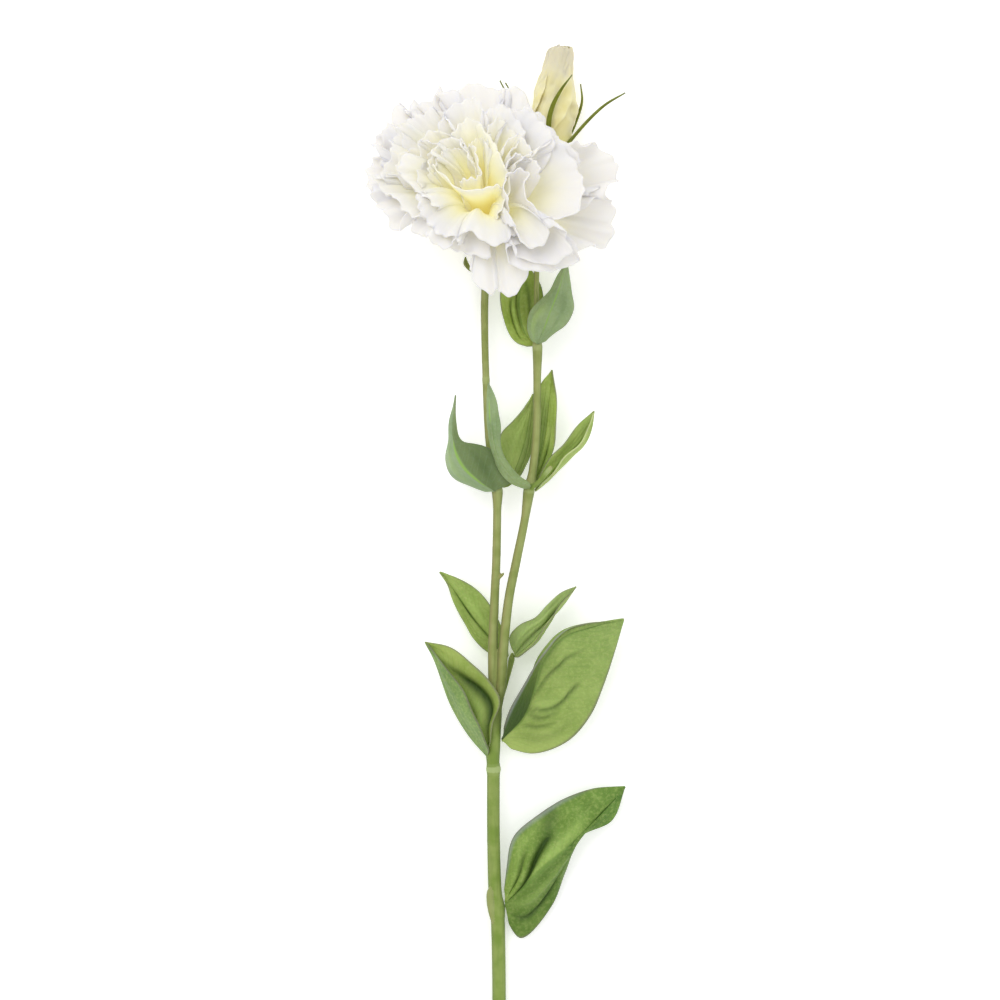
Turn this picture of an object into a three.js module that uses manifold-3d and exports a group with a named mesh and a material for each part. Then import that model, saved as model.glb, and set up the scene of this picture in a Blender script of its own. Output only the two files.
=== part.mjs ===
// A cut stem of double lisianthus, laid down on a flat surface: one open ruffled bloom, one furled bud,
// a forked stem with a short side shoot, and twelve leaves at its joints.
// Millimetres. +Z is up from the surface, and the stem runs along +Y from its cut end to its flower.
import * as THREE from "three";
import { mergeVertices } from "three/addons/utils/BufferGeometryUtils.js";
import Module from "manifold-3d";

const wasm = await Module();
wasm.setup();

// ---- driving dimensions ----
const bladeThickness = 0.7; // leaves, petals and sepals
const jointGap = 0.35; // between a piece and the one that carries it
const floorClear = 0.45; // lowest middle surface of a blade pressed on the surface
const pressHeight = 6; // a blade bends flat below this height
const leanSteps = 16; // pieces that the line of a petal or sepal is summed from
const mergeWithin = 1e-4; // corners closer than this are one

// Each shoot: centre points with the radius there.
const shoots = {
  main: [
    [0, 0, 2.3, 2.3],
    [0, 30, 2.4, 2.3],
    [0, 60, 2.9, 2.3],
    [-0.4, 80.5, 4.0, 2.35],
    [-0.7, 84.9, 4.2, 2.8],
    [-1.3, 90, 4.6, 2.25],
    [-1.9, 112, 6.0, 2.15],
    [-1.9, 130.5, 7.3, 2.15],
    [-1.9, 133.2, 7.5, 2.55],
    [-2.0, 136, 7.8, 2.2],
    [-2.1, 140, 8.1, 2.5],
    [-1.7, 150, 8.9, 2.6],
    [-1.0, 157, 9.5, 2.1],
  ],
  bloomBranch: [
    [-1.4, 150, 8.8, 1.6],
    [-1.9, 162, 9.5, 1.75],
    [-2.1, 174, 10.0, 1.65],
    [-1.5, 191, 10.5, 1.5],
    [-0.9, 204.6, 11.0, 1.45],
    [-0.6, 222, 11.7, 1.4],
    [-0.6, 228.1, 11.6, 1.95],
    [-1.4, 233, 11.4, 1.35],
    [-3.2, 243, 10.6, 1.25],
    [-4.1, 255.6, 8.9, 1.2],
    [-4.4, 264.5, 7.5, 1.2],
    [-4.45, 266, 7.3, 1.4],
    [-4.5, 267.5, 7.1, 1.2],
    [-4.9, 283, 5.0, 1.25],
    [-4.9, 294, 3.1, 1.3],
    [-4.6, 299.6, 3.4, 1.4],
    [-4.25, 302.78, 5.58, 1.6],
  ],
  budBranch: [
    [-1.4, 150, 9.2, 1.6],
    [0.7, 162, 10.4, 1.75],
    [1.5, 174, 11.4, 1.65],
    [3.3, 191, 12.1, 1.55],
    [6.0, 204.6, 12.5, 1.5],
    [8.9, 219, 12.9, 1.4],
    [10.2, 228.1, 13.0, 1.95],
    [11.4, 234.5, 13.1, 1.4],
    [12.8, 248.8, 13.0, 1.35],
    [13.0, 265.8, 12.6, 1.3],
    [13.1, 277.4, 12.0, 1.75],
    [12.9, 281.5, 11.8, 1.0],
    [12.8, 293, 10.8, 0.95],
    [13.1, 306.6, 9.6, 0.95],
    [15.4, 323.6, 8.6, 1.0],
    [18.8, 335.5, 7.95, 1.05],
    [19.6, 340.2, 7.95, 1.3],
  ],
  sideShoot: [
    [-0.6, 152.5, 7.6, 0.9],
    [1.2, 158, 6.6, 0.75],
    [3.0, 164, 5.6, 0.7],
    [4.3, 170.3, 5.0, 1.15],
    [4.7, 172.6, 4.8, 0.5],
  ],
  trimmedLeaf: [
    [-1.2, 83.6, 4.6, 1.2],
    [-3.6, 86.0, 5.2, 1.3],
    [-4.1, 89.6, 5.6, 1.15],
    [-3.6, 91.8, 5.6, 0.6],
  ],
  trimmedShoot: [
    [10.6, 228.6, 14.0, 0.9],
    [13.6, 231.4, 16.4, 0.8],
    [17.0, 235.4, 18.2, 0.85],
    [17.8, 236.3, 18.5, 0.7],
  ],
  nub: [
    [-0.9, 198, 11.0, 0.8],
    [1.1, 199.4, 11.4, 0.55],
    [1.7, 200.2, 11.5, 0.35],
  ],
};
const shootSides = 8;
const shootStep = 9; // longest stretch of a shoot between two rings

// Leaves, named by the joint that bears them and the side that they lie on, as cross sections from base
// to tip. Each section is the left margin, the midrib and the right margin.
const leaves = {
  leaf_a_right: [
    [[1.5, 88.3, 5], [2.1, 87, 5.4], [2.2, 84.9, 5]],
    [[2.8, 99.1, 5], [9.2, 93.3, 8.8], [8.2, 77.5, 1.5]],
    [[5.4, 109.7, 7.1], [15.9, 100.1, 10.3], [17.6, 86.1, 2.2]],
    [[12.6, 117.4, 9.4], [23.3, 106.1, 11], [22.3, 98.1, 5.2]],
    [[22.2, 122.6, 6.4], [30.4, 112.6, 8.6], [27.4, 109.4, 8.7]],
    [[32.5, 126.2, 7.5], [37.2, 119.4, 6.1], [38.8, 114.9, 3.5]],
    [[43.4, 126.7, 4.5], [43.4, 126.7, 4.5], [43.4, 126.7, 4.5]],
  ],
  leaf_b_left: [
    [[-3.4, 138.6, 10], [-4.4, 138.3, 7.5], [-3.4, 140.7, 10.5]],
    [[-5.5, 145.7, 16.2], [-9.6, 143.5, 6.5], [-2, 148.8, 14.6]],
    [[-8.7, 152.3, 18.8], [-13.7, 149.6, 7.2], [0.2, 156.7, 14.8]],
    [[-11.5, 159.2, 18.8], [-17, 156.2, 7.9], [-3.7, 164.1, 14.6]],
    [[-16, 165.1, 17], [-19.5, 163.1, 8.4], [-10, 169.8, 13.8]],
    [[-20.3, 171.1, 14.2], [-22, 170.1, 9.6], [-16.9, 174.8, 12.6]],
    [[-25.2, 176.7, 11.5], [-25.2, 176.7, 11.5], [-25.2, 176.7, 11.5]],
  ],
  leaf_b_right: [
    [[0.9, 144.4, 10], [1, 143.1, 8.5], [1, 141.4, 7]],
    [[3.9, 154.3, 19.1], [8.2, 150.4, 9], [12.3, 139.2, 4.5]],
    [[9.2, 163.6, 21], [12, 160.5, 11.8], [23.4, 142.7, 5]],
    [[14.6, 172.7, 18.2], [15.1, 170.8, 13], [31.2, 151.2, 6.8]],
    [[22.1, 180, 13.8], [22.1, 178.5, 12.5], [36, 161.9, 8.4]],
    [[32.3, 183, 11.9], [32.3, 182, 11], [39.5, 173.1, 9.2]],
    [[42.8, 184.4, 9.5], [42.8, 184.4, 9.5], [42.8, 184.4, 9.5]],
  ],
  leaf_c_left: [
    [[2.7, 170.2, 4.6], [3.2, 171.4, 4.8], [3.6, 172.8, 5]],
    [[-3.7, 172.7, 4.4], [-1.7, 175.8, 4.3], [1.4, 179.5, 5.4]],
    [[-8.5, 177.1, 4.6], [-5.7, 180.5, 4], [-0.9, 185.4, 5.6]],
    [[-12, 182.7, 4.9], [-9.4, 185.4, 4], [-4.2, 190.8, 5.8]],
    [[-14.8, 188.6, 5], [-12.9, 190.5, 4.3], [-8.8, 195.1, 5.8]],
    [[-17, 194.8, 5.5], [-16.5, 195.5, 4.8], [-14.4, 198.3, 5.9]],
    [[-20.4, 200.4, 6], [-20.4, 200.4, 6], [-20.4, 200.4, 6]],
  ],
  leaf_c_right: [
    [[4.8, 172.3, 6], [5.4, 171.3, 5.4], [5.6, 170.3, 6]],
    [[3.6, 178.1, 6.8], [9.8, 174.4, 6.5], [9.4, 174.2, 8.9]],
    [[7.1, 182.3, 7.5], [13.4, 178.4, 7.1], [13.6, 177.8, 10.3]],
    [[12.4, 184.9, 7.8], [16.6, 182.7, 7.3], [16.3, 182.5, 10.5]],
    [[16.5, 189.3, 8], [19.7, 187.1, 7.3], [19.5, 186.9, 9.8]],
    [[21, 193.2, 7.5], [22.9, 191.5, 7.1], [23.2, 191, 8.3]],
    [[26.5, 195.4, 6.5], [26.5, 195.4, 6.5], [26.5, 195.4, 6.5]],
  ],
  leaf_d_left: [
    [[-2.6, 227.3, 13], [-1.6, 228.1, 13.9], [0, 228.4, 13.9]],
    [[-9.5, 229.4, 12.6], [-7.1, 231.5, 17.8], [5.1, 232.6, 15.2]],
    [[-15.4, 233.2, 12], [-11.9, 235.8, 19.2], [1.3, 239.7, 15.5]],
    [[-18.3, 239.7, 12.4], [-14.8, 241.4, 19.9], [-5.3, 243.4, 16.6]],
    [[-17.1, 246.6, 15.3], [-15.6, 247.8, 19.9], [-12.8, 244.8, 18.3]],
    [[-16.4, 253.7, 17.7], [-15.4, 254.2, 19], [-14.6, 252.6, 18.6]],
    [[-14.7, 260.6, 18], [-14.7, 260.6, 18], [-14.7, 260.6, 18]],
  ],
  leaf_d_right: [
    [[0.9, 230.4, 10.4], [1.5, 229.4, 9.8], [2, 228.6, 9.4]],
    [[-0.3, 236.1, 8.9], [4.8, 234, 8], [6.6, 232.4, 7.8]],
    [[-0.4, 242, 8], [7.1, 239.2, 6.9], [9.6, 237.6, 7.1]],
    [[0.8, 247.6, 7.8], [8.8, 244.6, 6.4], [11.2, 243.4, 7]],
    [[4.7, 252, 7.9], [10, 250.2, 6.4], [12, 249.4, 7]],
    [[8.5, 256.4, 7.7], [10.9, 255.7, 6.6], [12.2, 255.4, 7]],
    [[11.6, 261.4, 7], [11.6, 261.4, 7], [11.6, 261.4, 7]],
  ],
  leaf_e_left: [
    [[10.2, 228.2, 15], [10.5, 229.4, 16], [11.6, 230.1, 15.4]],
    [[4, 231.2, 16.6], [4.7, 232.3, 19], [6.1, 233.8, 16.8]],
    [[-0.7, 236.7, 17.5], [0.3, 237.7, 20.1], [2.3, 239.2, 17.5]],
    [[-3.1, 243.3, 17.3], [-2, 244.1, 20.5], [0.4, 245.5, 17.9]],
    [[-3.6, 250.4, 16.4], [-2.9, 251, 19.7], [-0.1, 252.2, 17.7]],
    [[-4, 257.6, 15.6], [-3.3, 257.9, 17.8], [-0.9, 258.7, 16.8]],
    [[-3.5, 264.8, 15.5], [-3.5, 264.8, 15.5], [-3.5, 264.8, 15.5]],
  ],
  leaf_e_back: [
    [[10.4, 231.2, 10.8], [11.2, 230.8, 10.6], [12.4, 230.5, 11]],
    [[11, 238.1, 9.4], [13.5, 237.2, 8.9], [16.2, 236.4, 9.8]],
    [[11.8, 244.6, 9.5], [15.1, 243.6, 8.5], [18.4, 242.7, 9.8]],
    [[12.4, 251.2, 9.7], [16.2, 250, 8.5], [19.5, 249.4, 10.1]],
    [[13.1, 257.8, 9.9], [16.9, 256.5, 8.7], [19.7, 256.1, 10.3]],
    [[14.2, 264.4, 10.2], [17.7, 263, 9.2], [19.2, 262.9, 10.3]],
    [[18.1, 269.5, 10], [18.1, 269.5, 10], [18.1, 269.5, 10]],
  ],
  leaf_e_right: [
    [[12.4, 229.8, 12], [12.4, 228.1, 11], [13.1, 228.6, 12.4]],
    [[14.6, 234.8, 12.5], [17, 231.6, 10], [16.8, 232.8, 14.3]],
    [[17.6, 239.4, 12.5], [21, 236, 9.6], [20.6, 236.9, 15]],
    [[21.3, 243.5, 12.1], [25, 240.2, 9.6], [24.5, 241, 14.8]],
    [[24.7, 247.8, 11.6], [29, 244.5, 9.6], [28.2, 245.2, 13.8]],
    [[28.3, 251.9, 10.6], [31.7, 249.7, 9.3], [30.9, 250.1, 11.3]],
    [[32.5, 255.5, 9], [32.5, 255.5, 9], [32.5, 255.5, 9]],
  ],
  leaf_f_left: [
    [[11.2, 276.9, 10.3], [12.2, 277.6, 9.9], [13.2, 278.8, 9.8]],
    [[5.3, 279.4, 7], [8.9, 282.4, 7.2], [14.1, 284.1, 7.9]],
    [[2.3, 285, 6.5], [7.5, 287.1, 6], [15.3, 288.9, 7.4]],
    [[0.6, 291.1, 6.4], [6.8, 292, 5.4], [15.2, 293.9, 7]],
    [[0.7, 297.2, 6.2], [7.1, 296.8, 5.2], [14.2, 298.8, 6.7]],
    [[3.2, 302.9, 5.7], [7.6, 301.7, 5.1], [11.7, 303.1, 5.9]],
    [[8.2, 306.6, 5], [8.2, 306.6, 5], [8.2, 306.6, 5]],
  ],
  leaf_f_right: [
    [[11.9, 277.5, 13.9], [13.2, 278.2, 14.1], [14.6, 277.8, 13.9]],
    [[9.7, 283.1, 14.2], [15.4, 283.4, 16.6], [19.2, 281.8, 13.5]],
    [[10.4, 288.3, 14.6], [17.1, 288, 17.2], [23.2, 285.6, 12.9]],
    [[13.8, 292.7, 15], [18.8, 292.6, 16.9], [25.6, 290.3, 13]],
    [[17.4, 297, 15], [20.5, 297.2, 16.1], [24.6, 295.7, 13.4]],
    [[20.3, 301.8, 14.5], [21.8, 301.9, 15.1], [24, 301.2, 13.7]],
    [[23.1, 306.6, 14], [23.1, 306.6, 14], [23.1, 306.6, 14]],
  ],
};
const leafBlunt = 0.97; // share of the length where the blade ends in a narrow blunt tip
const leafRound = 0.55; // how round a leaf is across: 0 is a sharp fold at the midrib
const leafRows = 12;
const leafColumns = 6; // even, so that the midrib is a row of corners

// The bloom: where its petals start, and how far its axis leans from straight up towards the far end.
const bloomBase = [-4.25, 308.3, 11.1];
const bloomLean = 45;
// The throat that the claws of all petals sink into, as [radius, height].
const throatProfile = [
  [0, 0],
  [3.0, 0],
  [5.6, 4],
  [8.4, 9],
  [9.8, 14],
  [9.2, 18],
  [0, 20],
];
const throatSides = 14;

// Petals by whorl, from the heart outwards.
//   root       how far from the bloom's axis they start
//   claw       share of the length that stays inside the throat
//   clawLean   lean from the axis at the claw
//   opens      share of the length where a petal starts to bend out
//   bend       how gently it bends out: 1 is even
//   fold       height of the radial folds at the rim
//   folds      number of folds in a whole turn, shared by the whorl so that its petals nest
//   tuck       how far one side lies over the next petal and the other side under
const whorls = {
  heart: {
    root: 1.2, claw: 0.36, clawLean: 7, opens: 0.5, bend: 1.1, fold: 1.1, folds: 7, tuck: 1.2,
    columns: 4, rows: 4,
  },
  inner: {
    root: 2.0, claw: 0.3, clawLean: 12, opens: 0.4, bend: 0.9, fold: 1.8, folds: 9, tuck: 1.6,
    columns: 6, rows: 4,
  },
  middle: {
    root: 2.8, claw: 0.22, clawLean: 18, opens: 0.28, bend: 0.75, fold: 2.4, folds: 13, tuck: 2.0,
    columns: 7, rows: 5,
  },
  outer: {
    root: 3.4, claw: 0.12, clawLean: 26, opens: 0.18, bend: 0.55, fold: 2.8, folds: 17, tuck: 2.2,
    columns: 9, rows: 6,
  },
};
// Each petal: whorl, direction round the axis (0 to the right, 90 away from the cut end), length,
// width and lean at the rim.
const petals = [
  ["heart", 30, 40, 22, 8], ["heart", 150, 42, 22, 10], ["heart", 270, 42, 24, 12],
  ["inner", 64, 46, 30, 30], ["inner", 136, 47, 30, 36], ["inner", 208, 45, 30, 44],
  ["inner", 280, 43, 30, 48], ["inner", 352, 45, 30, 42],
  ["middle", 20, 48, 34, 62], ["middle", 84, 52, 34, 60], ["middle", 142, 50, 36, 64],
  ["middle", 202, 46, 36, 74], ["middle", 262, 43, 34, 84], ["middle", 322, 46, 36, 76],
  ["outer", 2, 53, 38, 82], ["outer", 25, 50, 28, 64], ["outer", 82, 54, 24, 77],
  ["outer", 104, 59, 38, 82], ["outer", 134, 55, 38, 86], ["outer", 163, 48, 38, 88],
  ["outer", 185, 43, 28, 88], ["outer", 240, 29, 24, 88], ["outer", 277, 35, 28, 108],
  ["outer", 313, 33, 28, 94], ["outer", 340, 44, 34, 88],
];
const petalSeed = 5;
const petalShape = {
  clawWidth: 0.22, // share of the full width at the base
  fullWidthAt: 0.9, // share of the length
  widening: 1.5,
  cornerDrop: 0.16, // how far the corners of the rim fall short
  cornerPower: 2.6,
  flare: 0.6, // how much flatter its cross section gets towards the rim
  tightest: 1.9, // half width over the radius of the cross section, at most
  unroll: 0.8, // share of the cupping that is gone at the rim
  foldStart: 2.5, // power of the length that the folds grow with
};

// Each sepal: direction round the axis, length, lean at the base and at the tip.
const bloomCalyx = {
  profile: [[0, -7.2], [2.0, -7.2], [3.0, -4.2], [3.5, -1], [3.2, -0.35], [0, -0.35]],
  sepals: [[228, 12, 78, 40], [262, 16, 62, 70], [330, 17, 66, 76], [40, 22, 62, 60], [118, 22, 60, 56]],
  rootOut: 2.0,
  rootUp: -3.2,
};

// The bud: its own base and direction, and the furled petals raised from its surface by a spiral.
const budBase = [19.6, 343.4, 7.95];
const budAxis = [0, 1, 0];
const budProfile = [
  [0, 0],
  [2.6, 0.3],
  [5.2, 4.5],
  [7.2, 11],
  [7.7, 17],
  [6.9, 23.5],
  [5.1, 30],
  [4.1, 34],
  [3.4, 36.2],
  [0, 35.4],
];
const budSides = 26;
const budFurls = 3;
const budFurlTurn = 0.75; // turns that a petal's edge makes from base to tip
const budFurlStep = 0.7;
const budCalyx = {
  profile: [[0, -2.6], [1.5, -2.6], [2.5, -1.0], [2.7, -0.45], [0, -0.45]],
  sepals: [[270, 27, 27, -7], [322, 30, 58, 40], [20, 25, 44, -6], [196, 20, 30, -4], [146, 33, 66, 34]],
  rootOut: 1.4,
  rootUp: -1.6,
};
const calyxSides = 12;
const sepalShape = {
  half: 1.25, // half width at the base
  tip: 0.3, // half width at the tip
  taper: 0.7,
  keel: 0.35, // how far the margins stand above the middle line, as a share of the half width
  clear: 1.3, // from the bud's own surface to a sepal's middle
  rows: 9,
};

const colours = { stem: 0x8ba35c, leaf: 0x7fa84e, petal: 0xf4f2ea, bud: 0xe6dfae, calyx: 0x6f8a3c };

// ---- small helpers ----
const radians = THREE.MathUtils.degToRad;
const vector = (p) => new THREE.Vector3(...p);
const clamp01 = (x) => Math.min(1, Math.max(0, x));

function seededDraws(seed) {
  let state = seed;
  return () => {
    state = (state * 16807) % 2147483647;
    return state / 2147483647;
  };
}

// Keeps a blade off the surface: what would dip under it bends flat along it.
function pressed(p) {
  if (p.z >= pressHeight) return p;
  const room = pressHeight - floorClear;
  p.z = floorClear + room * Math.exp((p.z - pressHeight) / room);
  return p;
}

// A closed solid from flat lists of coordinates and corner numbers.
function solidFrom(position, index) {
  const geometry = new THREE.BufferGeometry();
  geometry.setAttribute("position", new THREE.Float32BufferAttribute(position, 3));
  geometry.setIndex(index);
  const merged = mergeVertices(geometry, mergeWithin);
  return new wasm.Manifold(
    new wasm.Mesh({
      numProp: 3,
      vertProperties: Float32Array.from(merged.attributes.position.array),
      triVerts: Uint32Array.from(merged.index.array),
    }),
  );
}

// All the solids joined into one body, as a geometry. Scraps that don't reach the largest body are dropped.
function fused(solids) {
  const whole = wasm.Manifold.union(solids);
  const body = whole.decompose().reduce((a, b) => (b.volume() > a.volume() ? b : a));
  const mesh = body.getMesh();
  const position = [];
  for (let i = 0; i < mesh.numVert; i++) {
    const start = i * mesh.numProp;
    position.push(...mesh.vertProperties.slice(start, start + 3));
  }
  const geometry = new THREE.BufferGeometry();
  geometry.setAttribute("position", new THREE.Float32BufferAttribute(position, 3));
  geometry.setIndex(new THREE.BufferAttribute(mesh.triVerts, 1));
  return geometry;
}

// Adds the two triangles of a four-cornered face, always split from a to c.
function addQuad(index, a, b, c, d) {
  index.push(a, b, c, a, c, d);
}

// A thin solid round the surface pointAt(u, v), u from -1 to 1 and v from 0 to 1, split alike on both faces.
function bladeSolid(pointAt, columns, rows) {
  const middle = [];
  for (let j = 0; j <= rows; j++)
    for (let i = 0; i <= columns; i++) middle.push(pointAt((2 * i) / columns - 1, j / rows));
  const corner = (i, j) => j * (columns + 1) + i;
  const at = (i, j) => middle[corner(i, j)];
  const position = [];
  for (const side of [0.5, -0.5])
    for (let j = 0; j <= rows; j++)
      for (let i = 0; i <= columns; i++) {
        const across = at(Math.min(i + 1, columns), j).clone().sub(at(Math.max(i - 1, 0), j));
        const along = at(i, Math.min(j + 1, rows)).clone().sub(at(i, Math.max(j - 1, 0)));
        const normal = across.cross(along).normalize();
        position.push(...at(i, j).clone().addScaledVector(normal, side * bladeThickness));
      }
  const below = middle.length;
  const index = [];
  for (let j = 0; j < rows; j++)
    for (let i = 0; i < columns; i++) {
      const [a, b, c, d] = [corner(i, j), corner(i + 1, j), corner(i + 1, j + 1), corner(i, j + 1)];
      addQuad(index, a, b, c, d);
      index.push(a + below, c + below, b + below);
      index.push(a + below, d + below, c + below);
    }
  const rim = [];
  for (let i = 0; i < columns; i++) rim.push(corner(i, 0));
  for (let j = 0; j < rows; j++) rim.push(corner(columns, j));
  for (let i = columns; i > 0; i--) rim.push(corner(i, rows));
  for (let j = rows; j > 0; j--) rim.push(corner(0, j));
  rim.forEach((a, k) => {
    const b = rim[(k + 1) % rim.length];
    index.push(a, a + below, b);
    index.push(b, a + below, b + below);
  });
  return solidFrom(position, index);
}

// The places along a shoot where it gets a ring, as [share of the curve, radius].
function shootStations(points) {
  const last = points.length - 1;
  const stations = [];
  for (let k = 0; k < last; k++) {
    const gap = vector(points[k].slice(0, 3)).distanceTo(vector(points[k + 1].slice(0, 3)));
    const pieces = Math.max(1, Math.round(gap / shootStep));
    for (let s = 0; s < pieces; s++) {
      const share = s / pieces;
      stations.push([(k + share) / last, points[k][3] * (1 - share) + points[k + 1][3] * share]);
    }
  }
  stations.push([1, points[last][3]]);
  return stations;
}

// A closed round tube through [x, y, z, radius] points, room thicker all round than they say.
function shootSolid(points, room = 0) {
  const places = points.map((p) => vector(p.slice(0, 3)));
  const curve = new THREE.CatmullRomCurve3(places, false, "centripetal");
  const stations = shootStations(points);
  const last = stations.length - 1;
  const position = [];
  let side = new THREE.Vector3(1, 0, 0);
  for (const [t, radius] of stations) {
    const tangent = curve.getTangent(t);
    side = side.addScaledVector(tangent, -side.dot(tangent)).normalize();
    const other = tangent.clone().cross(side);
    for (let s = 0; s < shootSides; s++) {
      const turn = (2 * Math.PI * s) / shootSides;
      const p = curve.getPoint(t).addScaledVector(side, (room + radius) * Math.cos(turn));
      position.push(...p.addScaledVector(other, (room + radius) * Math.sin(turn)));
    }
  }
  position.push(...curve.getPoint(0), ...curve.getPoint(1));
  const startCentre = stations.length * shootSides;
  const endCentre = startCentre + 1;
  const ring = last * shootSides;
  const index = [];
  for (let s = 0; s < shootSides; s++) {
    const next = (s + 1) % shootSides;
    for (let k = 0; k < ring; k += shootSides)
      addQuad(index, k + s, k + next, k + shootSides + next, k + shootSides + s);
    index.push(startCentre, next, s);
    index.push(endCentre, ring + s, ring + next);
  }
  return solidFrom(position, index);
}

// Turns a [radius, height] profile round an axis from a base point. The radius is changed by
// relief(height, turn).
function turnedSolid(profile, sides, base, axis, relief = () => 0) {
  const frame = axisFrame(base, axis);
  const last = profile.length - 1;
  const position = [...frame(0, 0, profile[0][1])];
  for (const [radius, height] of profile.slice(1, last))
    for (let s = 0; s < sides; s++) {
      const turn = (2 * Math.PI * s) / sides;
      const r = radius + relief(height, turn);
      position.push(...frame(r * Math.cos(turn), r * Math.sin(turn), height));
    }
  position.push(...frame(0, 0, profile[last][1]));
  const ring = (k) => 1 + (k - 1) * sides;
  const index = [];
  for (let s = 0; s < sides; s++) {
    const next = (s + 1) % sides;
    index.push(0, ring(1) + next, ring(1) + s);
    for (let k = 1; k < last - 1; k++)
      addQuad(index, ring(k) + s, ring(k) + next, ring(k + 1) + next, ring(k + 1) + s);
    index.push(ring(last - 1) + s, ring(last - 1) + next, ring(last));
  }
  return solidFrom(position, index);
}

// Points given as (right, far, along) in a frame whose third direction is the axis.
function axisFrame(base, axis) {
  const along = vector(axis).normalize();
  const right = new THREE.Vector3(1, 0, 0).addScaledVector(along, -along.x).normalize();
  const far = along.clone().cross(right);
  const start = vector(base);
  return (r, f, a) => {
    const p = start.clone().addScaledVector(right, r).addScaledVector(far, f);
    return p.addScaledVector(along, a);
  };
}

// Distance out from the axis and up it, along a line that leans further out from where it opens.
function leaningLine(length, lean, opens, bend, share) {
  const leanAt = (t) => radians(lean[0] + (lean[1] - lean[0]) * clamp01((t - opens) / (1 - opens)) ** bend);
  const step = (length * share) / leanSteps;
  let out = 0;
  let up = 0;
  for (let k = 0; k < leanSteps; k++) {
    const angle = leanAt(((k + 0.5) / leanSteps) * share);
    out += step * Math.sin(angle);
    up += step * Math.cos(angle);
  }
  return { out, up, angle: leanAt(share) };
}

// Radius of a [radius, height] profile at a height.
function profileRadius(profile, height) {
  for (let k = 1; k < profile.length; k++) {
    const [r0, h0] = profile[k - 1];
    const [r1, h1] = profile[k];
    if (height >= h0 && height <= h1 && h1 > h0) return r0 + ((r1 - r0) * (height - h0)) / (h1 - h0);
  }
  return 0;
}

// ---- leaves ----
function leafSolid(sections) {
  const lineAlong = (k) => {
    const places = sections.map((section) => vector(section[k]));
    return new THREE.CatmullRomCurve3(places, false, "centripetal");
  };
  const lines = [lineAlong(0), lineAlong(1), lineAlong(2)];
  const pointAt = (u, v) => {
    const [left, rib, right] = lines.map((line) => line.getPoint(v * leafBlunt));
    const margin = u < 0 ? left.clone() : right.clone();
    const folded = rib.clone().lerp(margin, Math.abs(u));
    const rounded = left.multiplyScalar((u * u - u) / 2);
    rounded.addScaledVector(rib, 1 - u * u).addScaledVector(right, (u * u + u) / 2);
    return pressed(folded.lerp(rounded, leafRound));
  };
  return bladeSolid(pointAt, leafColumns, leafRows);
}

// ---- bloom ----
const bloomAxis = [0, Math.sin(radians(bloomLean)), Math.cos(radians(bloomLean))];

// Height of the radial folds at a direction round the axis, from about -1 to 1.
function foldWave(turn, folds, phase) {
  const fine = Math.sin(2 * folds * turn + 1.7 * phase + 1);
  return Math.sin(folds * turn + phase) + 0.35 * fine;
}

function petalSolid(petal, frame) {
  const shape = petalShape;
  const turn = radians(petal.direction);
  const pointAt = (u, rowShare) => {
    const share = petal.claw + (1 - petal.claw) * rowShare;
    const reach = share * (1 - shape.cornerDrop * Math.abs(u) ** shape.cornerPower * share);
    const line = leaningLine(petal.length, [petal.clawLean, petal.lean], petal.opens, petal.bend, reach);
    const widened = Math.sin((Math.PI / 2) * clamp01(reach / shape.fullWidthAt)) ** shape.widening;
    const half = (petal.width / 2) * (shape.clawWidth + (1 - shape.clawWidth) * widened);
    const out = petal.root + line.out;
    const section = Math.max(out * (1 + shape.flare * reach ** 2), half / shape.tightest);
    const spread = (half / section) * u;
    const sideways = section * Math.sin(spread);
    const inward = section * (1 - Math.cos(spread)) * (1 - shape.unroll * reach ** 2);
    const wave = foldWave(turn + sideways / out, petal.folds, petal.phase);
    const rise = inward + petal.tuck * u + petal.fold * reach ** shape.foldStart * wave;
    const right = out - rise * Math.cos(line.angle);
    const up = line.up + rise * Math.sin(line.angle);
    const x = right * Math.cos(turn) - sideways * Math.sin(turn);
    const y = right * Math.sin(turn) + sideways * Math.cos(turn);
    return pressed(frame(x, y, up));
  };
  return bladeSolid(pointAt, petal.columns, petal.rows);
}

function bloomGeometry() {
  const draw = seededDraws(petalSeed);
  const frame = axisFrame(bloomBase, bloomAxis);
  const phases = Object.fromEntries(Object.keys(whorls).map((name) => [name, 2 * Math.PI * draw()]));
  const pieces = petals.map(([name, direction, length, width, lean]) =>
    petalSolid({ ...whorls[name], phase: phases[name], direction, length, width, lean }, frame),
  );
  pieces.push(turnedSolid(throatProfile, throatSides, bloomBase, bloomAxis));
  return fused(pieces);
}

// ---- calyces and bud ----
// innerRadius(height) is the radius of what the sepal lies round.
function sepalSolid(sepal, calyx, frame, innerRadius) {
  const [direction, length, leanBase, leanTip] = sepal;
  const shape = sepalShape;
  const turn = radians(direction);
  const pointAt = (u, v) => {
    const line = leaningLine(length, [leanBase, leanTip], 0, 1, v);
    const half = shape.half * (1 - v) ** shape.taper + shape.tip;
    const keel = half * Math.abs(u) * shape.keel;
    const up = calyx.rootUp + line.up + keel * Math.sin(line.angle);
    const free = calyx.rootOut + line.out - keel * Math.cos(line.angle);
    const out = Math.max(free, innerRadius(up) + shape.clear);
    const x = out * Math.cos(turn) - half * u * Math.sin(turn);
    const y = out * Math.sin(turn) + half * u * Math.cos(turn);
    return pressed(frame(x, y, up));
  };
  return bladeSolid(pointAt, 2, shape.rows);
}

function calyxGeometry(calyx, base, axis, innerRadius) {
  const frame = axisFrame(base, axis);
  const pieces = calyx.sepals.map((sepal) => sepalSolid(sepal, calyx, frame, innerRadius));
  pieces.push(turnedSolid(calyx.profile, calyxSides, base, axis));
  return fused(pieces);
}

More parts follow.
